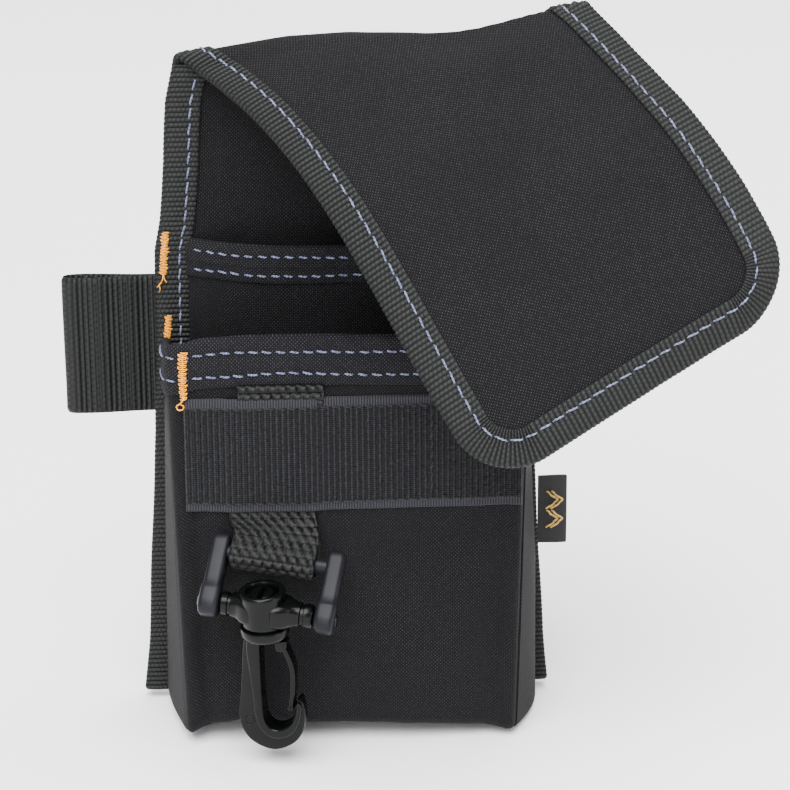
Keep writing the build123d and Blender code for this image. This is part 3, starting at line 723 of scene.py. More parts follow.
def hem(name, surface, edge, seam, depth, nodes, seed, rows_at):
    """Folded band over a mouth's edge, with rows of stitches at depths below the seam's line."""
    section = hem_section(depth, TAPE, -CLOTH - TAPE)
    z = edge - section[:, :1]
    points, normal = surface(z)
    soft = ripple(points, 9.0, seed) * 0.35
    lift = section[:, 1:2] + soft * (np.abs(section[:, 1:2] - TAPE) < 0.5)
    rings = points + normal * lift[..., None]
    uv = np.stack([column_length(points), z], -1)
    m = Mesher()
    m.sweep(rings.transpose(1, 0, 2), uv.transpose(1, 0, 2))
    make(name, m, HEM_CLOTH, "hem_cloth", nodes=nodes)
    rows = Mesher()
    for k, drop in enumerate(rows_at):
        line, out = surface((seam - drop)[None, :])
        wander = ripple(line, 14.0, seed + k) * 0.5
        line = line + out * (TAPE - 0.08) - DOWN * wander[..., None]
        stitches(rows, line[0, 3:-3], out[0, 3:-3], int(seed * 10) + k)
    make(name.replace("band", "stitches"), rows, BLUE_THREAD, "hem_cloth")


def pocket():
    edge = mouth_z()
    drop = np.linspace(0, 1, 130)[:, None] ** 1.05
    reach = wall_xy(np.full((1, WALL_COLS), BACK_BOTTOM + 3.0))[0][0, :, 0]
    z = edge + (floor_z(reach) - edge) * drop
    points, normal = wall_xy(z)
    angles = np.radians([18, 36, 54, 72, 90, 90, 90])
    inward = TURN_UNDER * (1 - np.cos(angles))
    inward[-2:] = 5.0, 9.0
    last, out, under, steep = points[-1], normal[-1], [], []
    for angle, distance in zip(angles, inward):
        turned = last - out * distance
        turned[:, 2] = floor_z(turned[:, 0]) - TURN_UNDER * math.sin(angle)
        under.append(turned)
        steep.append(out * math.cos(angle) + DOWN * math.sin(angle))
    outer = np.concatenate([points, under])
    front_col, middle_col = 90, 123
    run = column_length(outer)
    fall = arc_length(outer[:, front_col])[:, None]
    uv = np.stack(np.broadcast_arrays(run - run[:, middle_col, None], -fall), -1)
    slab_piece("pocket_wall", outer, outer - np.concatenate([normal, steep]) * CLOTH, uv,
               MAIN, "fabric", nodes=["front_panel", "gusset_left", "gusset_right"])
    hem("front_hem_band_cloth", wall_xy, edge, mouth_z(0.6), HEM, ["front_hem_band"], 2.3, (3.8, 10.6))
    depth = np.linspace(TAPE_FRONT - 0.2, FLOOR_FRONT + 3.0, 30)[:, None]
    x = (2 * np.linspace(0, 1, 60) - 1) * np.interp(-depth, [7, 42], [54.0, 46.0])
    flat = np.stack([x, np.broadcast_to(depth, x.shape), np.full_like(x, BACK_BOTTOM + 4.6)], -1)
    flat[..., 2] += 0.25 * ripple(flat, 12.0, 5.5)
    slab_piece("pocket_floor_cloth", flat + DOWN * CLOTH / 2, flat - DOWN * CLOTH / 2, flat[..., :2],
               MAIN, "fabric", nodes=["pocket_floor"])


# ------------------------------------------------------------------ inner pocket
def inner_xy(z):
    """The inner pocket's cloth: a sheet sewn under both bindings that swells forward."""
    t = np.linspace(-1, 1, z.shape[1])
    low = clamp((INNER_MOUTH - z) / (INNER_MOUTH - BACK_BOTTOM))
    x = t * (back_half(z) - TAPE_SHOWS + 0.5)
    depth = (INNER_SWELL - 3.5 * low) * (1 - np.abs(t) ** 3)
    calm = clamp((1 - np.abs(t)) * 5)
    place = np.stack([x, np.zeros_like(x), z], -1)
    y = TAPE_FRONT + 0.3 - depth + ripple(place * [1, 1, 0.5], 20.0, 4.4) * 1.6 * calm
    points = np.stack([x, y, z], -1)
    return points, outward(points)


def inner_pocket():
    edge = INNER_MOUTH + 0.25 * np.sin(5 * np.linspace(-1, 1, 170))
    drop = np.linspace(0, 1, 110)[:, None]
    z = edge + (BACK_BOTTOM + 2.6 - edge) * drop
    points, normal = inner_xy(z)
    slab_piece("inner_wall", points, points - normal * CLOTH, np.stack([column_length(points), z], -1),
               MAIN, "lining", nodes=["inner_panel", "inner_wing_left", "inner_wing_right"])
    hem("inner_hem_band_cloth", inner_xy, edge, edge, INNER_HEM, ["inner_hem_band"], 8.1, (2.3, 8.0))


# --------------------------------------------------------------------- loop tape
def tape_ground(x, z):
    """Depth of the loop tape's rear face: the front cloth, and the strap where that lies under it."""
    under = 0.9 / (1 + np.exp((np.abs(x - STRAP_X) - 13.4) / 0.5))
    return front_y(z) - np.maximum(relief(x, z), -0.2) - under - 0.05


def loop_tape():
    xx, zz = np.meshgrid(np.linspace(LOOP_LEFT, LOOP_RIGHT, 420), np.linspace(LOOP_TOP, LOOP_LOW, 84))
    away = np.minimum(LOOP_TOP - zz, zz - LOOP_LOW)
    ends = np.minimum(xx - LOOP_LEFT, LOOP_RIGHT - xx)
    ground = tape_ground(xx, zz)
    field = 1 / (1 + np.exp(-(away - SELVEDGE - 0.1) / 0.16))
    place = np.stack([xx, np.zeros_like(xx), zz], -1)
    pile = 1.25 + 0.2 * np.abs(np.sin(math.pi * xx / 1.8)) ** 0.7
    pile += 0.5 * ripple(place, 0.8, 2.2) + 0.2 * ripple(place, 3.0, 6.1)
    selvedge = 0.8 + 0.13 * np.abs(np.sin(math.pi * xx / 0.8))
    top = field * pile + (1 - field) * selvedge
    top *= clamp(0.25 + np.minimum(away, ends) / 0.5)
    slab_piece("loop_tape_cloth", np.stack([xx, ground - top, zz], -1),
               np.stack([xx, ground + 0.02, zz], -1), np.stack([xx, zz], -1),
               LOOP_PILE, "loop_tape", nodes=["loop_tape"], crease=60)
    level = np.linspace(LOOP_LEFT + 1, LOOP_RIGHT - 1, 300)
    upright = np.linspace(LOOP_TOP - 3.4, LOOP_LOW + 3.4, 90)
    rows = Mesher()
    for seed, x, z, lift in ((50, level, LOOP_TOP - SELVEDGE - 0.3, 1.15),
                             (51, level, LOOP_LOW + SELVEDGE + 0.3, 1.15),
                             (60, LOOP_LEFT + 5.3, upright, 1.3), (61, 24.3, upright, 1.3)):
        x, z = np.broadcast_arrays(x, z)
        path = np.stack([x, tape_ground(x, z) - lift, z], 1)
        stitches(rows, path, FRONTWARD, seed, pitch=3.2, share=0.75, ply=0.2)
    make("loop_tape_stitches", rows, DARK_THREAD, "loop_tape")


# ------------------------------------------------------------------ hook's strap
def bar_frame():
    """Axes of the strap's free end, which turns with the bar, as columns."""
    yaw, roll = math.radians(BAR_YAW), math.radians(BAR_ROLL)
    return np.array(Matrix.Rotation(roll, 3, "Y") @ Matrix.Rotation(yaw, 3, "Z"))


def strap():
    """Strap from under the loop tape, down, round the hook's bar and back up; the last number of
    each point is how far it has turned with the bar."""
    axes = bar_frame()
    ring_r = BAR_R + 0.35 + STRAP / 2
    points = [(front_y(z) - 1.2, z, 0) for z in (-11.5, -16, -24, -32, -40, -48)]
    points += [(-41.3, -51.0, 0.05), (-44.0, -53.4, 0.4), (-47.8, -55.8, 0.85)]
    for angle in range(112, 392, 14):
        a = math.radians(angle)
        points.append((BAR[1] + ring_r * math.cos(a), BAR[2] + ring_r * math.sin(a), 1))
    points += [(-44.2, -57.2, 0.75), (-41.9, -54.0, 0.3), (-40.7, -51.2, 0.05)]
    line = spline([(0.0, y, z) for y, z, _ in points], 0.3)
    s = arc_length(line)
    knots = arc_length(np.array([(0, y, z) for y, z, _ in points]))
    share = np.interp(s / s[-1], knots / knots[-1], [w for _, _, w in points])
    mix = (share * share * (3 - 2 * share))[:, None]
    width = unit((1 - mix) * np.array([1.0, 0, 0]) + mix * axes[:, 0])
    about = line - [0, BAR[1], BAR[2]]
    turned = BAR + about @ axes.T
    straight = np.array([STRAP_X, BAR[1], BAR[2]]) + about
    straight[:, 0] += TAB_SHIFT * clamp((line[:, 2] + 50) / 36)
    centre = (1 - mix) * straight + mix * turned
    lift = unit(np.cross(unit(np.gradient(centre, axis=0)), width))
    half = STRAP_WIDTH / 2
    w = np.linspace(-half, half, 96)
    row = np.floor(s / SCALE_LONG)
    along_scale = (s / SCALE_LONG - row) ** 0.75
    across_scale = (w + half) / SCALE_WIDE + 0.5 * (row[:, None] % 2)
    cell = np.abs(np.sin(math.pi * across_scale)) ** 0.55
    cell = cell * np.sin(math.pi * along_scale)[:, None].clip(0) ** 0.6
    thick = np.interp(s / s[-1], [0, 0.05, 0.08, 0.40, 0.52, 1], [0.95, 0.95, 0.45, 0.45, 1, 1])[:, None]
    edge = clamp((half - np.abs(w)) / 0.6) ** 0.5
    outer = (0.15 + 0.95 * cell) * edge * thick
    inner = (0.75 + 0.2 * cell) * edge * thick
    base = centre[:, None] + width[:, None] * w[:, None]
    slab_piece("hook_strap_webbing", base + lift[:, None] * outer[..., None],
               base - lift[:, None] * inner[..., None],
               np.stack(np.broadcast_arrays(w, s[:, None]), -1),
               BRAID, "strap_webbing", nodes=["hook_strap"], crease=70)


# ----------------------------------------------------------------- webbing loops
def web(name, line, width_dir, width, thick, node):
    """Webbing with cross ribs on both faces, along a line of points."""
    line = spline(line, 0.36)
    s = arc_length(line)
    lift = unit(np.cross(unit(np.gradient(line, axis=0)), width_dir))
    w = np.linspace(-width / 2, width / 2, 40)
    edge = clamp((width / 2 - np.abs(w)) / 0.5) ** 0.5
    rib = WEB_RIB_HIGH * (np.abs(np.sin(math.pi * s / WEB_RIB)) ** 0.8)[:, None]
    h = (thick / 2 - WEB_RIB_HIGH + rib) * (0.35 + 0.65 * edge)
    base = line[:, None] + np.array(width_dir) * w[:, None]
    base = base + lift[:, None] * (0.25 * ripple(base, 16.0, 9.9))[..., None]
    rise = lift[:, None] * h[..., None]
    uv = np.stack(np.broadcast_arrays(w, s[:, None]), -1)
    slab_piece(name, base + rise, base - rise, uv, WEB_CLOTH, "webbing", nodes=[node])


def stitch_lines(name, lines, depth):
    """Rows of stitches on a rear face; each line is its seed and its two ends (x, z)."""
    rows = Mesher()
    for seed, (xa, za), (xb, zb) in lines:
        path = resample(np.array([(xa, depth, za), (xb, depth, zb)], float), 0.5)
        stitches(rows, path, REARWARD, seed, pitch=3.4)
    make(name, rows, BLUE_THREAD, "webbing")


def loops():
    outline = [(-34, -1.55), (-45, -1.55), (-56, -1.6), (-61.5, -1.75), (-66, -2.2), (-72, -2.9),
               (-77.5, -3.2), (-81.6, -2.8), (-83.1, -1.1), (-81.6, 0.7), (-77.5, 1.3), (-72, 1.0),
               (-66, 0.5), (-61.5, 0.1), (-56, 0.0), (-45, 0.0), (-34, 0.0)]
    web("tool_loop_webbing", [(x, y, -10.25) for x, y in outline], (0.0, 0.0, 1.0),
        TOOL_LOOP_WIDTH, 1.5, "tool_loop")
    lower = [(-2.5, -49), (-2.5, -44), (-2.4, -39.8), (-0.6, -37.7), (2.8, -37.0), (4.4, -34.5),
             (4.5, -28), (4.5, -10)]
    upper = [(y, -z) for y, z in reversed(lower)]
    web("belt_loop_webbing", [(0, y, z) for y, z in lower + upper], (1.0, 0.0, 0.0),
        BELT_LOOP_WIDTH, 1.9, "belt_loop")
    boxes = []
    for z0, z1 in ((-47.6, -40.8), (40.8, 47.6)):
        box = [(-22, z0), (22, z0), (22, z1), (-22, z1), (-22, z0), (22, z1), (22, z0), (-22, z1)]
        boxes += zip(range(70, 77), box, box[1:])
    stitch_lines("belt_loop_stitches", boxes, -1.5)
    stitch_lines("tool_loop_stitches", [(90 + k, (x, 9.0), (x, -29.5)) for k, x in
                                        enumerate((-36.0, -41.0, -57.5))], 0.72)


# -------------------------------------------------------------------------- flap
def bezier(points, t):
    a, b, c, d = (np.array(p, float) for p in points)
    t = np.asarray(t, float)[..., None]
    s = 1 - t
    return a * s ** 3 + b * (3 * t * s * s) + c * (3 * t * t * s) + d * t ** 3


def flap_normal():
    down = bezier(FLAP_LEFT, 1.0) - bezier(FLAP_LEFT, 0.0)
    across = bezier(FLAP_RIGHT, 1.0) - bezier(FLAP_LEFT, 1.0)
    return unit(np.cross(down, across))


def flap_point(a, along):
    """Point of the flap at a share across from the left and a share down from the fold."""
    crown = FLAP_CROWN * 4 * a * (1 - a)
    left, right = bezier(FLAP_LEFT, along), bezier(FLAP_RIGHT, along)
    return left + (right - left) * a + flap_normal() * crown


def fold_column(a, t):
    """Line of the rolled fold from the back's top edge to the flap."""
    top = BACK_TOP + 0.2 - BACK_TOP_DROP * (1 - a) ** 2
    start = np.array([FOLD_HALF * (2 * a - 1), BACK_MID - 0.1, top])
    end = flap_point(a, 0.0)
    heading = unit(flap_point(a, 0.05) - end)
    first = start + np.array([3 * a, 1.5 * a, np.interp(a, *FOLD_RISE)])
    last = end - heading * (3 - 2 * a)
    return bezier([start, first, last, end], t)


class Sheet:
    """The flap and its fold as one cloth: p runs across from the left edge, d up from the tip."""

    def __init__(self, columns=61, rows=401):
        self.share = np.linspace(0, 1, columns)
        lines, self.length = [], []
        for a in self.share:
            line = np.vstack([fold_column(a, np.linspace(0, 1, 90)),
                              flap_point(a, np.linspace(0, 1, 260)[1:])])[::-1]
            s = arc_length(line)
            self.length.append(s[-1])
            lines.append(lookup(np.linspace(0, s[-1], rows), s, line))
        self.length = np.array(self.length)
        self.grid = np.stack(lines, 1)
        self.width = np.linalg.norm(self.grid[0, -1] - self.grid[0, 0])
        self.normal = unit(np.cross(np.gradient(self.grid, axis=1), np.gradient(self.grid, axis=0)))
        if self.normal[0, columns // 2, 1] > 0:
            self.normal = -self.normal
        c = np.linspace(0, 1, rows)[:, None]
        sag = ripple(self.grid, 34.0, 2.7) * 1.5 * np.clip(c * 5, 0.3, 1) * clamp((1 - c) * 6)
        sag += ripple(self.grid, 11.0, 6.3) * 0.35 * clamp((1 - c) * 6)
        near = clamp((c - 0.72) / 0.14)
        sag -= 2.4 * near * near * (3 - 2 * near) * np.sin(math.pi * self.share ** 2.2)
        self.grid = self.grid + self.normal * sag[..., None]

    def reach(self, p):
        return np.interp(p / self.width, self.share, self.length)

    def at(self, p, d, lift):
        p, d, lift = np.broadcast_arrays(p, d, lift)
        a = p / self.width
        c = d / self.reach(p)
        rows, cols = self.grid.shape[:2]
        x, y = a * (cols - 1), c * (rows - 1)
        i = np.clip(np.floor(x).astype(int), 0, cols - 2)
        j = np.clip(np.floor(y).astype(int), 0, rows - 2)
        fx, fy = (x - i)[..., None], (y - j)[..., None]

        def mix(g, fx, fy):
            return ((g[j, i] * (1 - fx) + g[j, i + 1] * fx) * (1 - fy)
                    + (g[j + 1, i] * (1 - fx) + g[j + 1, i + 1] * fx) * fy)
        normal = unit(mix(self.normal, clamp(fx), clamp(fy)))
        return mix(self.grid, fx, fy) + normal * lift[..., None], normal

    def tip(self, p, inset):
        """Lowest d at p for an outline inset by a distance."""
        r = FLAP_CORNER_R - inset
        edge = np.minimum(p, self.width - p) - inset
        t = clamp((r - edge) / r)
        return inset + r - np.sqrt(np.maximum(r * r - (r * t) ** 2, 0))

    def outline(self, step=0.3):
        """Points (p, d) and inward directions from the fold's left end round to its right end."""
        w, r = self.width, FLAP_CORNER_R
        turn = np.linspace(0, math.pi / 2, 90)
        left_d = np.linspace(self.reach(0.0) + 1.0, r, 400, endpoint=False)
        right_d = np.linspace(r, self.reach(w) + 1.0, 400)
        p = np.r_[0 * left_d, r - r * np.cos(turn), np.linspace(r, w - r, 200)[1:-1],
                  w - r + r * np.sin(turn), w + 0 * right_d[1:]]
        d = np.r_[left_d, r - r * np.sin(turn), np.zeros(198), r - r * np.cos(turn), right_d[1:]]
        line = resample(np.stack([p, d], 1), step)
        along = unit(np.gradient(line, axis=0))
        inward = np.stack([-along[:, 1], along[:, 0]], 1)
        return line, inward


def spread(inset, sheet, rows, cols):
    """(p, d) grid of the flap's cloth inside an inset outline; rows crowd near the fold."""
    t = np.linspace(0, 1, cols)
    ends = 0.5 - 0.5 * np.cos(math.pi * t)
    share = 0.75 * t + 0.25 * ends
    p = inset + (sheet.width - 2 * inset) * share
    p = np.broadcast_to(p, (rows, cols))
    top = sheet.reach(p) + 0.9
    low = sheet.tip(p, inset)
    r = np.linspace(0, 1, rows)[:, None]
    crowd = np.where(r < 0.6, r / 0.6 * 0.86, 0.86 + (r - 0.6) / 0.4 * 0.14)
    return p, low + (top - low) * crowd


def flap():
    sheet = Sheet()
    p, d = spread(1.0, sheet, 200, 130)
    for name, high, low, slot, nodes in (
            ("flap_outer_cloth", CLOTH, 0.04, "fabric", ["flap_panel", "flap_fold"]),
            ("flap_lining_cloth", -0.04, -CLOTH, "lining", ["flap_lining"])):
        slab_piece(name, sheet.at(p, d, high)[0], sheet.at(p, d, low)[0], np.stack([p, d], -1),
                   MAIN, slot, body="fold", nodes=nodes)
    line, inward = sheet.outline()
    s0 = arc_length(line)

    def edge_at(s, inset):
        at = lookup(s, s0, line) + np.asarray(inset)[..., None] * lookup(s, s0, inward)
        return at[..., 0], at[..., 1]
    tape = Mesher()
    bind(tape, lambda s, inset, lift: sheet.at(*edge_at(s, inset), lift)[0], s0[-1], CLOTH)
    make("flap_tape", tape, TAPE_CLOTH, "binding_tape", "fold", ["flap_binding"])
    rows = Mesher()
    s = np.linspace(2.0, s0[-1] - 2.0, 900)
    for face in (1, -1):
        path, normal = sheet.at(*edge_at(s, STITCH_IN), face * (CLOTH + 0.82))
        stitches(rows, path, normal * face, 120 + face, pitch=4.4, share=0.85, ply=0.2)
    make("flap_stitches", rows, BLUE_THREAD, "binding_tape", "fold")
    uu, vv = np.meshgrid(np.linspace(0.14, 0.86, 110) * sheet.width, np.linspace(14.0, 50.0, 50))
    teeth = 0.25 * np.abs(np.sin(math.pi * uu / 1.3)) * np.abs(np.sin(math.pi * vv / 1.45))
    slab_piece("hook_patch_field", sheet.at(uu, vv, -1.25)[0], sheet.at(uu, vv, -2.5 - teeth)[0],
               np.stack([uu, vv], -1), HOOK_FIELD, "hook_tape", body="flap", nodes=["hook_patch"])
    rows = Mesher()
    corners = [(16.5, 16.0), (87.5, 16.0), (87.5, 48.0), (16.5, 48.0), (16.5, 16.0)]
    for k, ends in enumerate(zip(corners, corners[1:])):
        along = resample(np.array(ends), 1.0)
        path, normal = sheet.at(along[:, 0], along[:, 1], -2.55)
        stitches(rows, path, -normal, 140 + k, pitch=3.4, ply=0.2)
    make("hook_patch_stitches", rows, DARK_THREAD, "hook_tape", "flap")


# ------------------------------------------------------------- label and bartacks
def label_y(face, share, z, lift=0.0):
    """Depth of one face of the folded label, at a share of its width from the seam."""
    flare = LABEL_GAP + 1.4 * share ** 2 * (1 - share)
    return BACK_MID - face * (flare + lift) + 0.25 * np.sin(z / 5.0) * share


def label():
    m = Mesher()
    z = np.linspace(LABEL_LOW, LABEL_HIGH, 60)
    uu, zz = np.meshgrid(np.linspace(0, 1, 26), z)
    x = LABEL_ROOT + LABEL_WIDE * uu
    for face in (1, -1):
        points = np.stack([x, label_y(face, uu, zz), zz], -1)
        m.slab(points + FRONTWARD * 0.22, points + REARWARD * 0.22, np.stack([x, zz], -1))
    bend = np.full_like(z, LABEL_ROOT + LABEL_WIDE)
    m.tube(np.stack([bend, BACK_MID + 0.25 * np.sin(z / 5.0), z], 1), 0.33, sides=8)
    make("side_label_cloth", m, LABEL_SATIN, "label", nodes=["side_label"])
    mark = Mesher()
    t = np.linspace(-1, 1, 40)
    for centre in (-68.6, -62.4):
        for shift in (0.0, 1.5):
            for face in (1, -1):
                x = 65.4 + 0.2 * np.sin(t * 9) - 3.6 * np.abs(t) + shift
                h = centre + 2.9 * t
                y = label_y(face, (x - LABEL_ROOT) / LABEL_WIDE, h, 0.24)
                mark.tube(np.stack([x, y, h], 1), 0.34)
    make("side_label_mark", mark, GOLD_THREAD, "label")


def bartacks():
    """Orange bars at the pockets' corners, with the loose ends of their thread."""
    m = Mesher()
    y = TAPE_FRONT - 0.05
    for (x0, z0), (x1, z1), width, seed in (((-52.2, 26.0), (-53.2, 13.2), 2.6, 1),
                                            ((-52.0, 0.2), (-52.6, -6.8), 2.3, 2),
                                            ((-53.6, -8.0), (-54.4, -11.5), 0.8, 3)):
        zigzag(m, resample(np.array([(x0, y, z0), (x1, y, z1)]), 0.4), FRONTWARD, width, seed)
    h = np.linspace(-1.2, -15.2, 40)
    path = np.stack([-47.2 + 0.4 * np.sin(h / 6), front_y(h) - TAPE - 0.2, h], 1)
    zigzag(m, path, FRONTWARD, 2.6, 4, step=0.62)
    f = front_y(-16.5) - 0.9
    ends = ((f, 0.22, [(-47.2, -0.5, -14.6), (-48.2, -0.6, -16.2), (-49.5, -0.2, -17.3),
                       (-49.0, -0.3, -18.4), (-47.7, -0.4, -18.2), (-47.5, -0.3, -17.2),
                       (-48.5, -0.2, -16.8)]),
            (y, 0.2, [(-53.2, -0.3, 13.6), (-53.4, -0.7, 11.5), (-54.4, -0.8, 10.0), (-55.1, -0.6, 9.2)]),
            (y, 0.16, [(-53.1, -0.3, 13.4), (-52.8, -0.6, 11.6), (-52.2, -0.5, 10.6)]),
            (y, 0.14, [(-54.5, -0.7, 10.0), (-54.2, -0.9, 8.6), (-54.6, -0.6, 7.6)]))
    for ground, radius, points in ends:
        m.tube(spline(np.array(points) + [0, ground, 0], 0.3), radius)
    make("bartack_thread", m, ORANGE_THREAD, "bartack_thread", nodes=["bartacks"])


# ---------------------------------------------------------------------- hardware
def joint(name, key):
    """A value of one of the frame's joints."""
    return np.array(next(j for j in frame["joints"] if j["name"] == name)[key], float)


def placer(origin, x, z, order=(0, 1, 2)):
    """Function that carries local points, their coordinates in this order, into place."""
    axes = np.stack([x, np.cross(z, x), z])[list(order)]
    return lambda points: origin + np.asarray(points, float) @ axes


def hardware_frames():
    """Origin, x and z of the yoke, the pin and the stem, from the joints."""
    bar, pin = joint("yoke_swing", "pos_m") / MM, joint("barrel_tilt", "pos_m") / MM
    yoke_x, pin_x = unit(joint("yoke_swing", "axis")), unit(joint("barrel_tilt", "axis"))
    stem_z, stem_y = unit(joint("hook_spin", "axis")), unit(joint("gate_press", "axis"))
    pin_z = unit(stem_z - pin_x * (stem_z @ pin_x))
    return ((bar, yoke_x, unit(bar - pin)), (pin, pin_x, pin_z), (pin, np.cross(stem_y, stem_z), stem_z))


def oval(half_u, half_v, power, count=36):
    """Rounded outline, from an ellipse (power 2) to nearly a rectangle."""
    t = np.linspace(0, 2 * math.pi, count, endpoint=False)
    c, s = np.cos(t), np.sin(t)
    return np.stack([half_u * np.sign(c) * np.abs(c) ** (2 / power),
                     half_v * np.sign(s) * np.abs(s) ** (2 / power)], 1)


def level(points, height):
    """Flat points given a third coordinate."""
    return np.column_stack([points, np.full(len(points), height)])


def lathe(mesh, profile, put):
    """Turned part: (radius, height) from one flat end to the other."""
    mesh.sweep(np.stack([put(level(oval(r, r, 2, 72), h)) for r, h in profile]))


def plate(mesh, outline, thick, bevel, put):
    """Flat part with rounded edges; put takes outline coordinates, then depth."""
    p = np.asarray(outline, float)
    along = unit(np.roll(p, -1, 0) - np.roll(p, 1, 0))
    inward = np.stack([-along[:, 1], along[:, 0]], 1)
    following = np.roll(p, -1, 0)
    if (p[:, 0] * following[:, 1] - following[:, 0] * p[:, 1]).sum() < 0:
        inward = -inward
    edge = [(bevel * (1 - math.sin(a)), bevel * (1 - math.cos(a)) - thick / 2) for a in CORNER]
    edge += [(inset, -depth) for inset, depth in reversed(edge)]
    mesh.sweep(np.stack([put(level(p + inward * inset, depth)) for inset, depth in edge]))


def ribbon(mesh, outer, inner, thick, bevel, put):
    """Flat part between two edges that run the same way, with rounded corners all round."""
    edges = []
    for points in (outer, inner):
        line = spline(points, 0.2)
        s = arc_length(line)
        edges.append(lookup(np.linspace(0, s[-1], 90), s, line))
    across = edges[1] - edges[0]
    wide = np.linalg.norm(across, axis=1, keepdims=True)
    soft = np.minimum(bevel, 0.45 * wide)
    back = CORNER[::-1]
    ring = []
    for sign_w, sign_t, turns in ((-1, -1, back), (1, -1, CORNER), (1, 1, back), (-1, 1, CORNER)):
        for a in turns:
            u = sign_w * (wide / 2 - soft * (1 - math.sin(a)))
            depth = sign_t * (thick / 2 - soft * (1 - math.cos(a)))
            at = edges[0] + across * (0.5 + u / np.maximum(wide, 1e-6))
            ring.append(put(np.column_stack([at, depth])))
    mesh.sweep(np.stack(ring, 1))


# Sections and profiles of the hook's parts, in the frames that hardware_frames gives.
ARM_SHIFT, HUB_LIFT = 1.2, 1.5
ARM_SECTIONS = [(5.0, 15.9, 18.7, 1.2), (4.75, 15.2, 19.3, 2.1), (4.0, 14.8, 19.7, 2.75),
                (2.5, 14.6, 19.9, 3.0), (-8.0, 14.6, 19.9, 3.15), (-10.6, 14.55, 19.95, 3.3),
                (-11.4, 14.2, 20.25, 3.9), (-12.2, 14.1, 20.3, 4.1), (-15.5, 14.1, 20.3, 4.25),
                (-17.6, 14.15, 20.25, 3.9), (-18.8, 14.4, 20.0, 3.1), (-19.5, 14.9, 19.5, 1.9),
                (-19.75, 15.6, 18.8, 0.8)]
TRUNNION_SECTIONS = [(3.0, 6.0, -3.7, 4.4, 4.0), (4.0, 6.0, -3.6, 4.4, 4.0), (6.5, 5.2, -3.4, 4.3, 4.0),
                     (7.5, 4.2, -3.2, 4.1, 3.4), (9.0, 3.5, -3.1, 3.9, 2.8), (10.2, 3.4, -3.05, 3.85, 2.5),
                     (10.45, 2.9, -2.6, 3.4, 2.4), (11.2, 2.9, -2.6, 3.4, 2.3),
                     (11.45, 3.4, -3.05, 3.85, 2.3), (13.2, 3.3, -3.0, 3.8, 2.2), (13.7, 2.8, -2.5, 3.3, 2.2)]
HUB_PROFILE = [(5.6, -6.0), (6.2, -5.8), (6.5, -5.3), (6.6, -4.5), (6.65, 0.0), (6.85, 3.4), (6.9, 4.3),
               (6.7, 4.9), (6.3, 5.2), (5.6, 5.25), (5.1, 5.05), (4.9, 4.6), (4.85, 2.4)]
COLLAR_PROFILE = [(3.0, -4.0), (3.0, -6.12), (6.5, -6.12), (7.0, -6.35), (7.2, -6.9), (7.2, -8.3),
                  (6.9, -9.1), (6.3, -9.65), (5.4, -9.9)]
HOOK_OUTER = [(-5.6, -7), (-6.6, -11.5), (-7.4, -19), (-8.5, -28), (-9.3, -34), (-8.6, -39.0), (-5.5, -43.4),
              (0.5, -45.6), (6.5, -43.2), (9.8, -38.6), (10.7, -33), (10.3, -29.5), (9.4, -28.3)]
HOOK_INNER = [(-1.6, -7), (-1.5, -11), (-1.7, -18), (-1.9, -28), (-1.8, -34.5), (-0.4, -37.8), (2.2, -38.8),
              (5.0, -37.4), (7.0, -34.7), (7.9, -31.5), (8.2, -29.4), (8.7, -28.4)]
RIB_OUTER = [(-4.6, -7), (-5.4, -11.5), (-5.0, -19), (-4.5, -27), (-4.2, -33.5), (-3.2, -37.6), (-0.6, -40.6),
             (3.0, -41.2), (6.6, -39.4), (9.0, -35.5), (9.9, -31.5), (9.9, -29.6), (9.3, -28.6)]
RIB_INNER = [(-1.4, -7), (-1.3, -11), (-1.5, -18), (-1.7, -28), (-1.5, -34.3), (-0.3, -37.2), (2.2, -38.2),
             (5.2, -37.0), (7.3, -34.8), (8.2, -31.8), (8.4, -29.6), (8.9, -28.7)]
GATE_PATH = [(4.8, -9.5), (6.3, -13), (7.6, -17.5), (7.7, -22), (7.2, -27), (6.5, -31)]
GATE_HALF, GATE_DEEP = 0.75, 4.6
PIN_HEAD = [(1.9, 19.6), (1.9, 20.45), (1.6, 20.65), (1.0, 20.75)]


def yoke(yoke_frame):
    m = Mesher()
    put = placer(*yoke_frame)
    for side in (-1, 1):
        rings = []
        for z, x_in, x_out, deep in ARM_SECTIONS:
            ring = oval((x_out - x_in) / 2, deep, 4.5) + [side * (x_in + x_out) / 2 + ARM_SHIFT, 0]
            rings.append(put(level(ring, z)))
        m.sweep(np.stack(rings))
    lathe(m, [(BAR_R, ARM_SHIFT - 15.0), (BAR_R, ARM_SHIFT + 15.0)], placer(*yoke_frame, (1, 2, 0)))
    make("strap_yoke_body", m, YOKE_PLASTIC, "yoke_plastic", "yoke", ["strap_yoke"], crease=40)


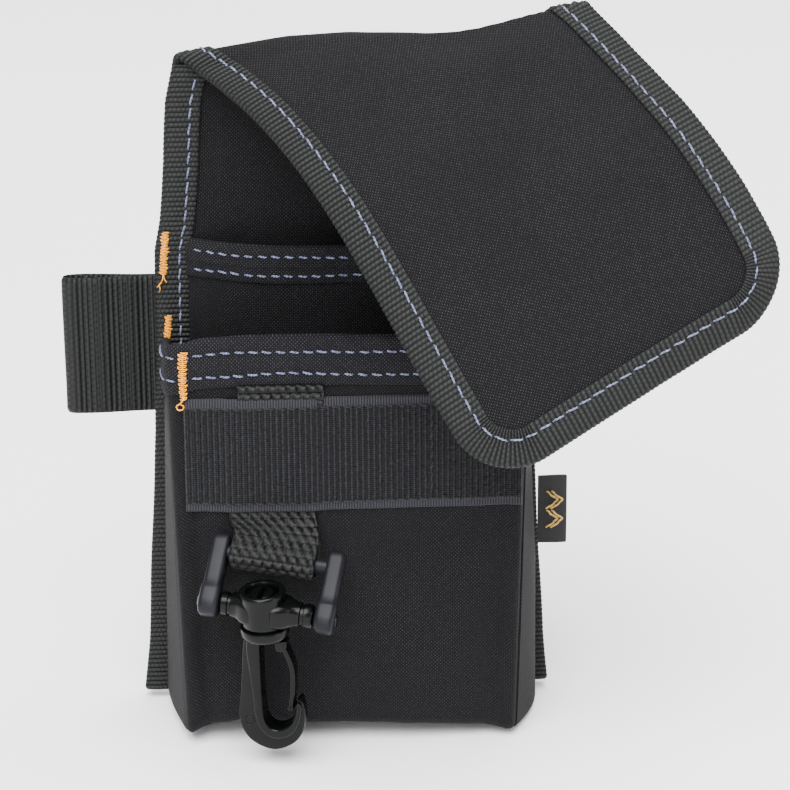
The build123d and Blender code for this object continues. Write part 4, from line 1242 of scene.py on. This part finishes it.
def barrel(pin_frame, stem_frame):
    m = Mesher()
    put = placer(*pin_frame, (1, 2, 0))
    for side in (-1, 1):
        rings = []
        reach = 1 + side * ARM_SHIFT / TRUNNION_SECTIONS[-1][0]
        for x, deep, low, high, power in TRUNNION_SECTIONS:
            ring = oval(deep, (high - low) / 2, power) + [0, (high + low) / 2]
            rings.append(put(level(ring, side * x * reach)))
        m.sweep(np.stack(rings))
        lathe(m, [(r, side * x + ARM_SHIFT) for r, x in PIN_HEAD], put)
    lathe(m, [(r, h + HUB_LIFT) for r, h in HUB_PROFILE], placer(*stem_frame))
    make("swivel_barrel_body", m, HOOK_PLASTIC, "hook_plastic", "barrel", ["swivel_barrel"], crease=40)


def hook(stem_frame, flat):
    m = Mesher()
    lathe(m, [(r, h + HUB_LIFT) for r, h in COLLAR_PROFILE], placer(*stem_frame))
    ribbon(m, HOOK_OUTER, HOOK_INNER, 3.8, 0.5, flat)
    ribbon(m, RIB_OUTER, RIB_INNER, 6.4, 0.7, flat)
    plate(m, [(3.0, -9.0), (3.2, -12.4), (5.2, -12.6), (6.6, -11.0), (6.6, -9.0)], 4.4, 0.5, flat)
    turn = np.linspace(-1.4, 1.4, 24)
    top = placer(stem_frame[0] + stem_frame[2] * (3.1 + HUB_LIFT), *stem_frame[1:])
    for side in (-1, 1):
        half_disc = [side * (0.55 + 3.3 * (np.cos(turn) - math.cos(1.4))), 3.85 * np.sin(turn)]
        plate(m, np.stack(half_disc, 1), 2.6, 0.4, top)
    around = np.linspace(0, 2 * math.pi, 40)
    mark = level(np.stack([-6.3 + 1.4 * np.cos(around), -36 + 1.4 * np.sin(around)], 1), -1.9)
    m.tube(flat(mark), 0.16, taper=False)
    make("snap_hook_body", m, HOOK_PLASTIC, "hook_plastic", "hook", ["snap_hook"], crease=40)


def gate(flat):
    m = Mesher()
    path = spline(GATE_PATH, 0.5)
    along = unit(np.gradient(path, axis=0))
    side = np.stack([-along[:, 1], along[:, 0]], 1) * GATE_HALF
    ribbon(m, path - side, path + side, GATE_DEEP, 0.35, flat)
    plate(m, oval(1.05, 1.05, 2, 28) + path[-1], GATE_DEEP, 0.35, flat)
    make("hook_gate_blade", m, HOOK_PLASTIC, "hook_plastic", "gate", ["hook_gate"], crease=40)


def hardware():
    yoke_frame, pin_frame, stem_frame = hardware_frames()
    flat = placer(*stem_frame, (0, 2, 1))
    yoke(yoke_frame)
    barrel(pin_frame, stem_frame)
    hook(stem_frame, flat)
    gate(flat)


camera()
studio()
back()
pocket()
inner_pocket()
loop_tape()
strap()
loops()
flap()
label()
bartacks()
hardware()
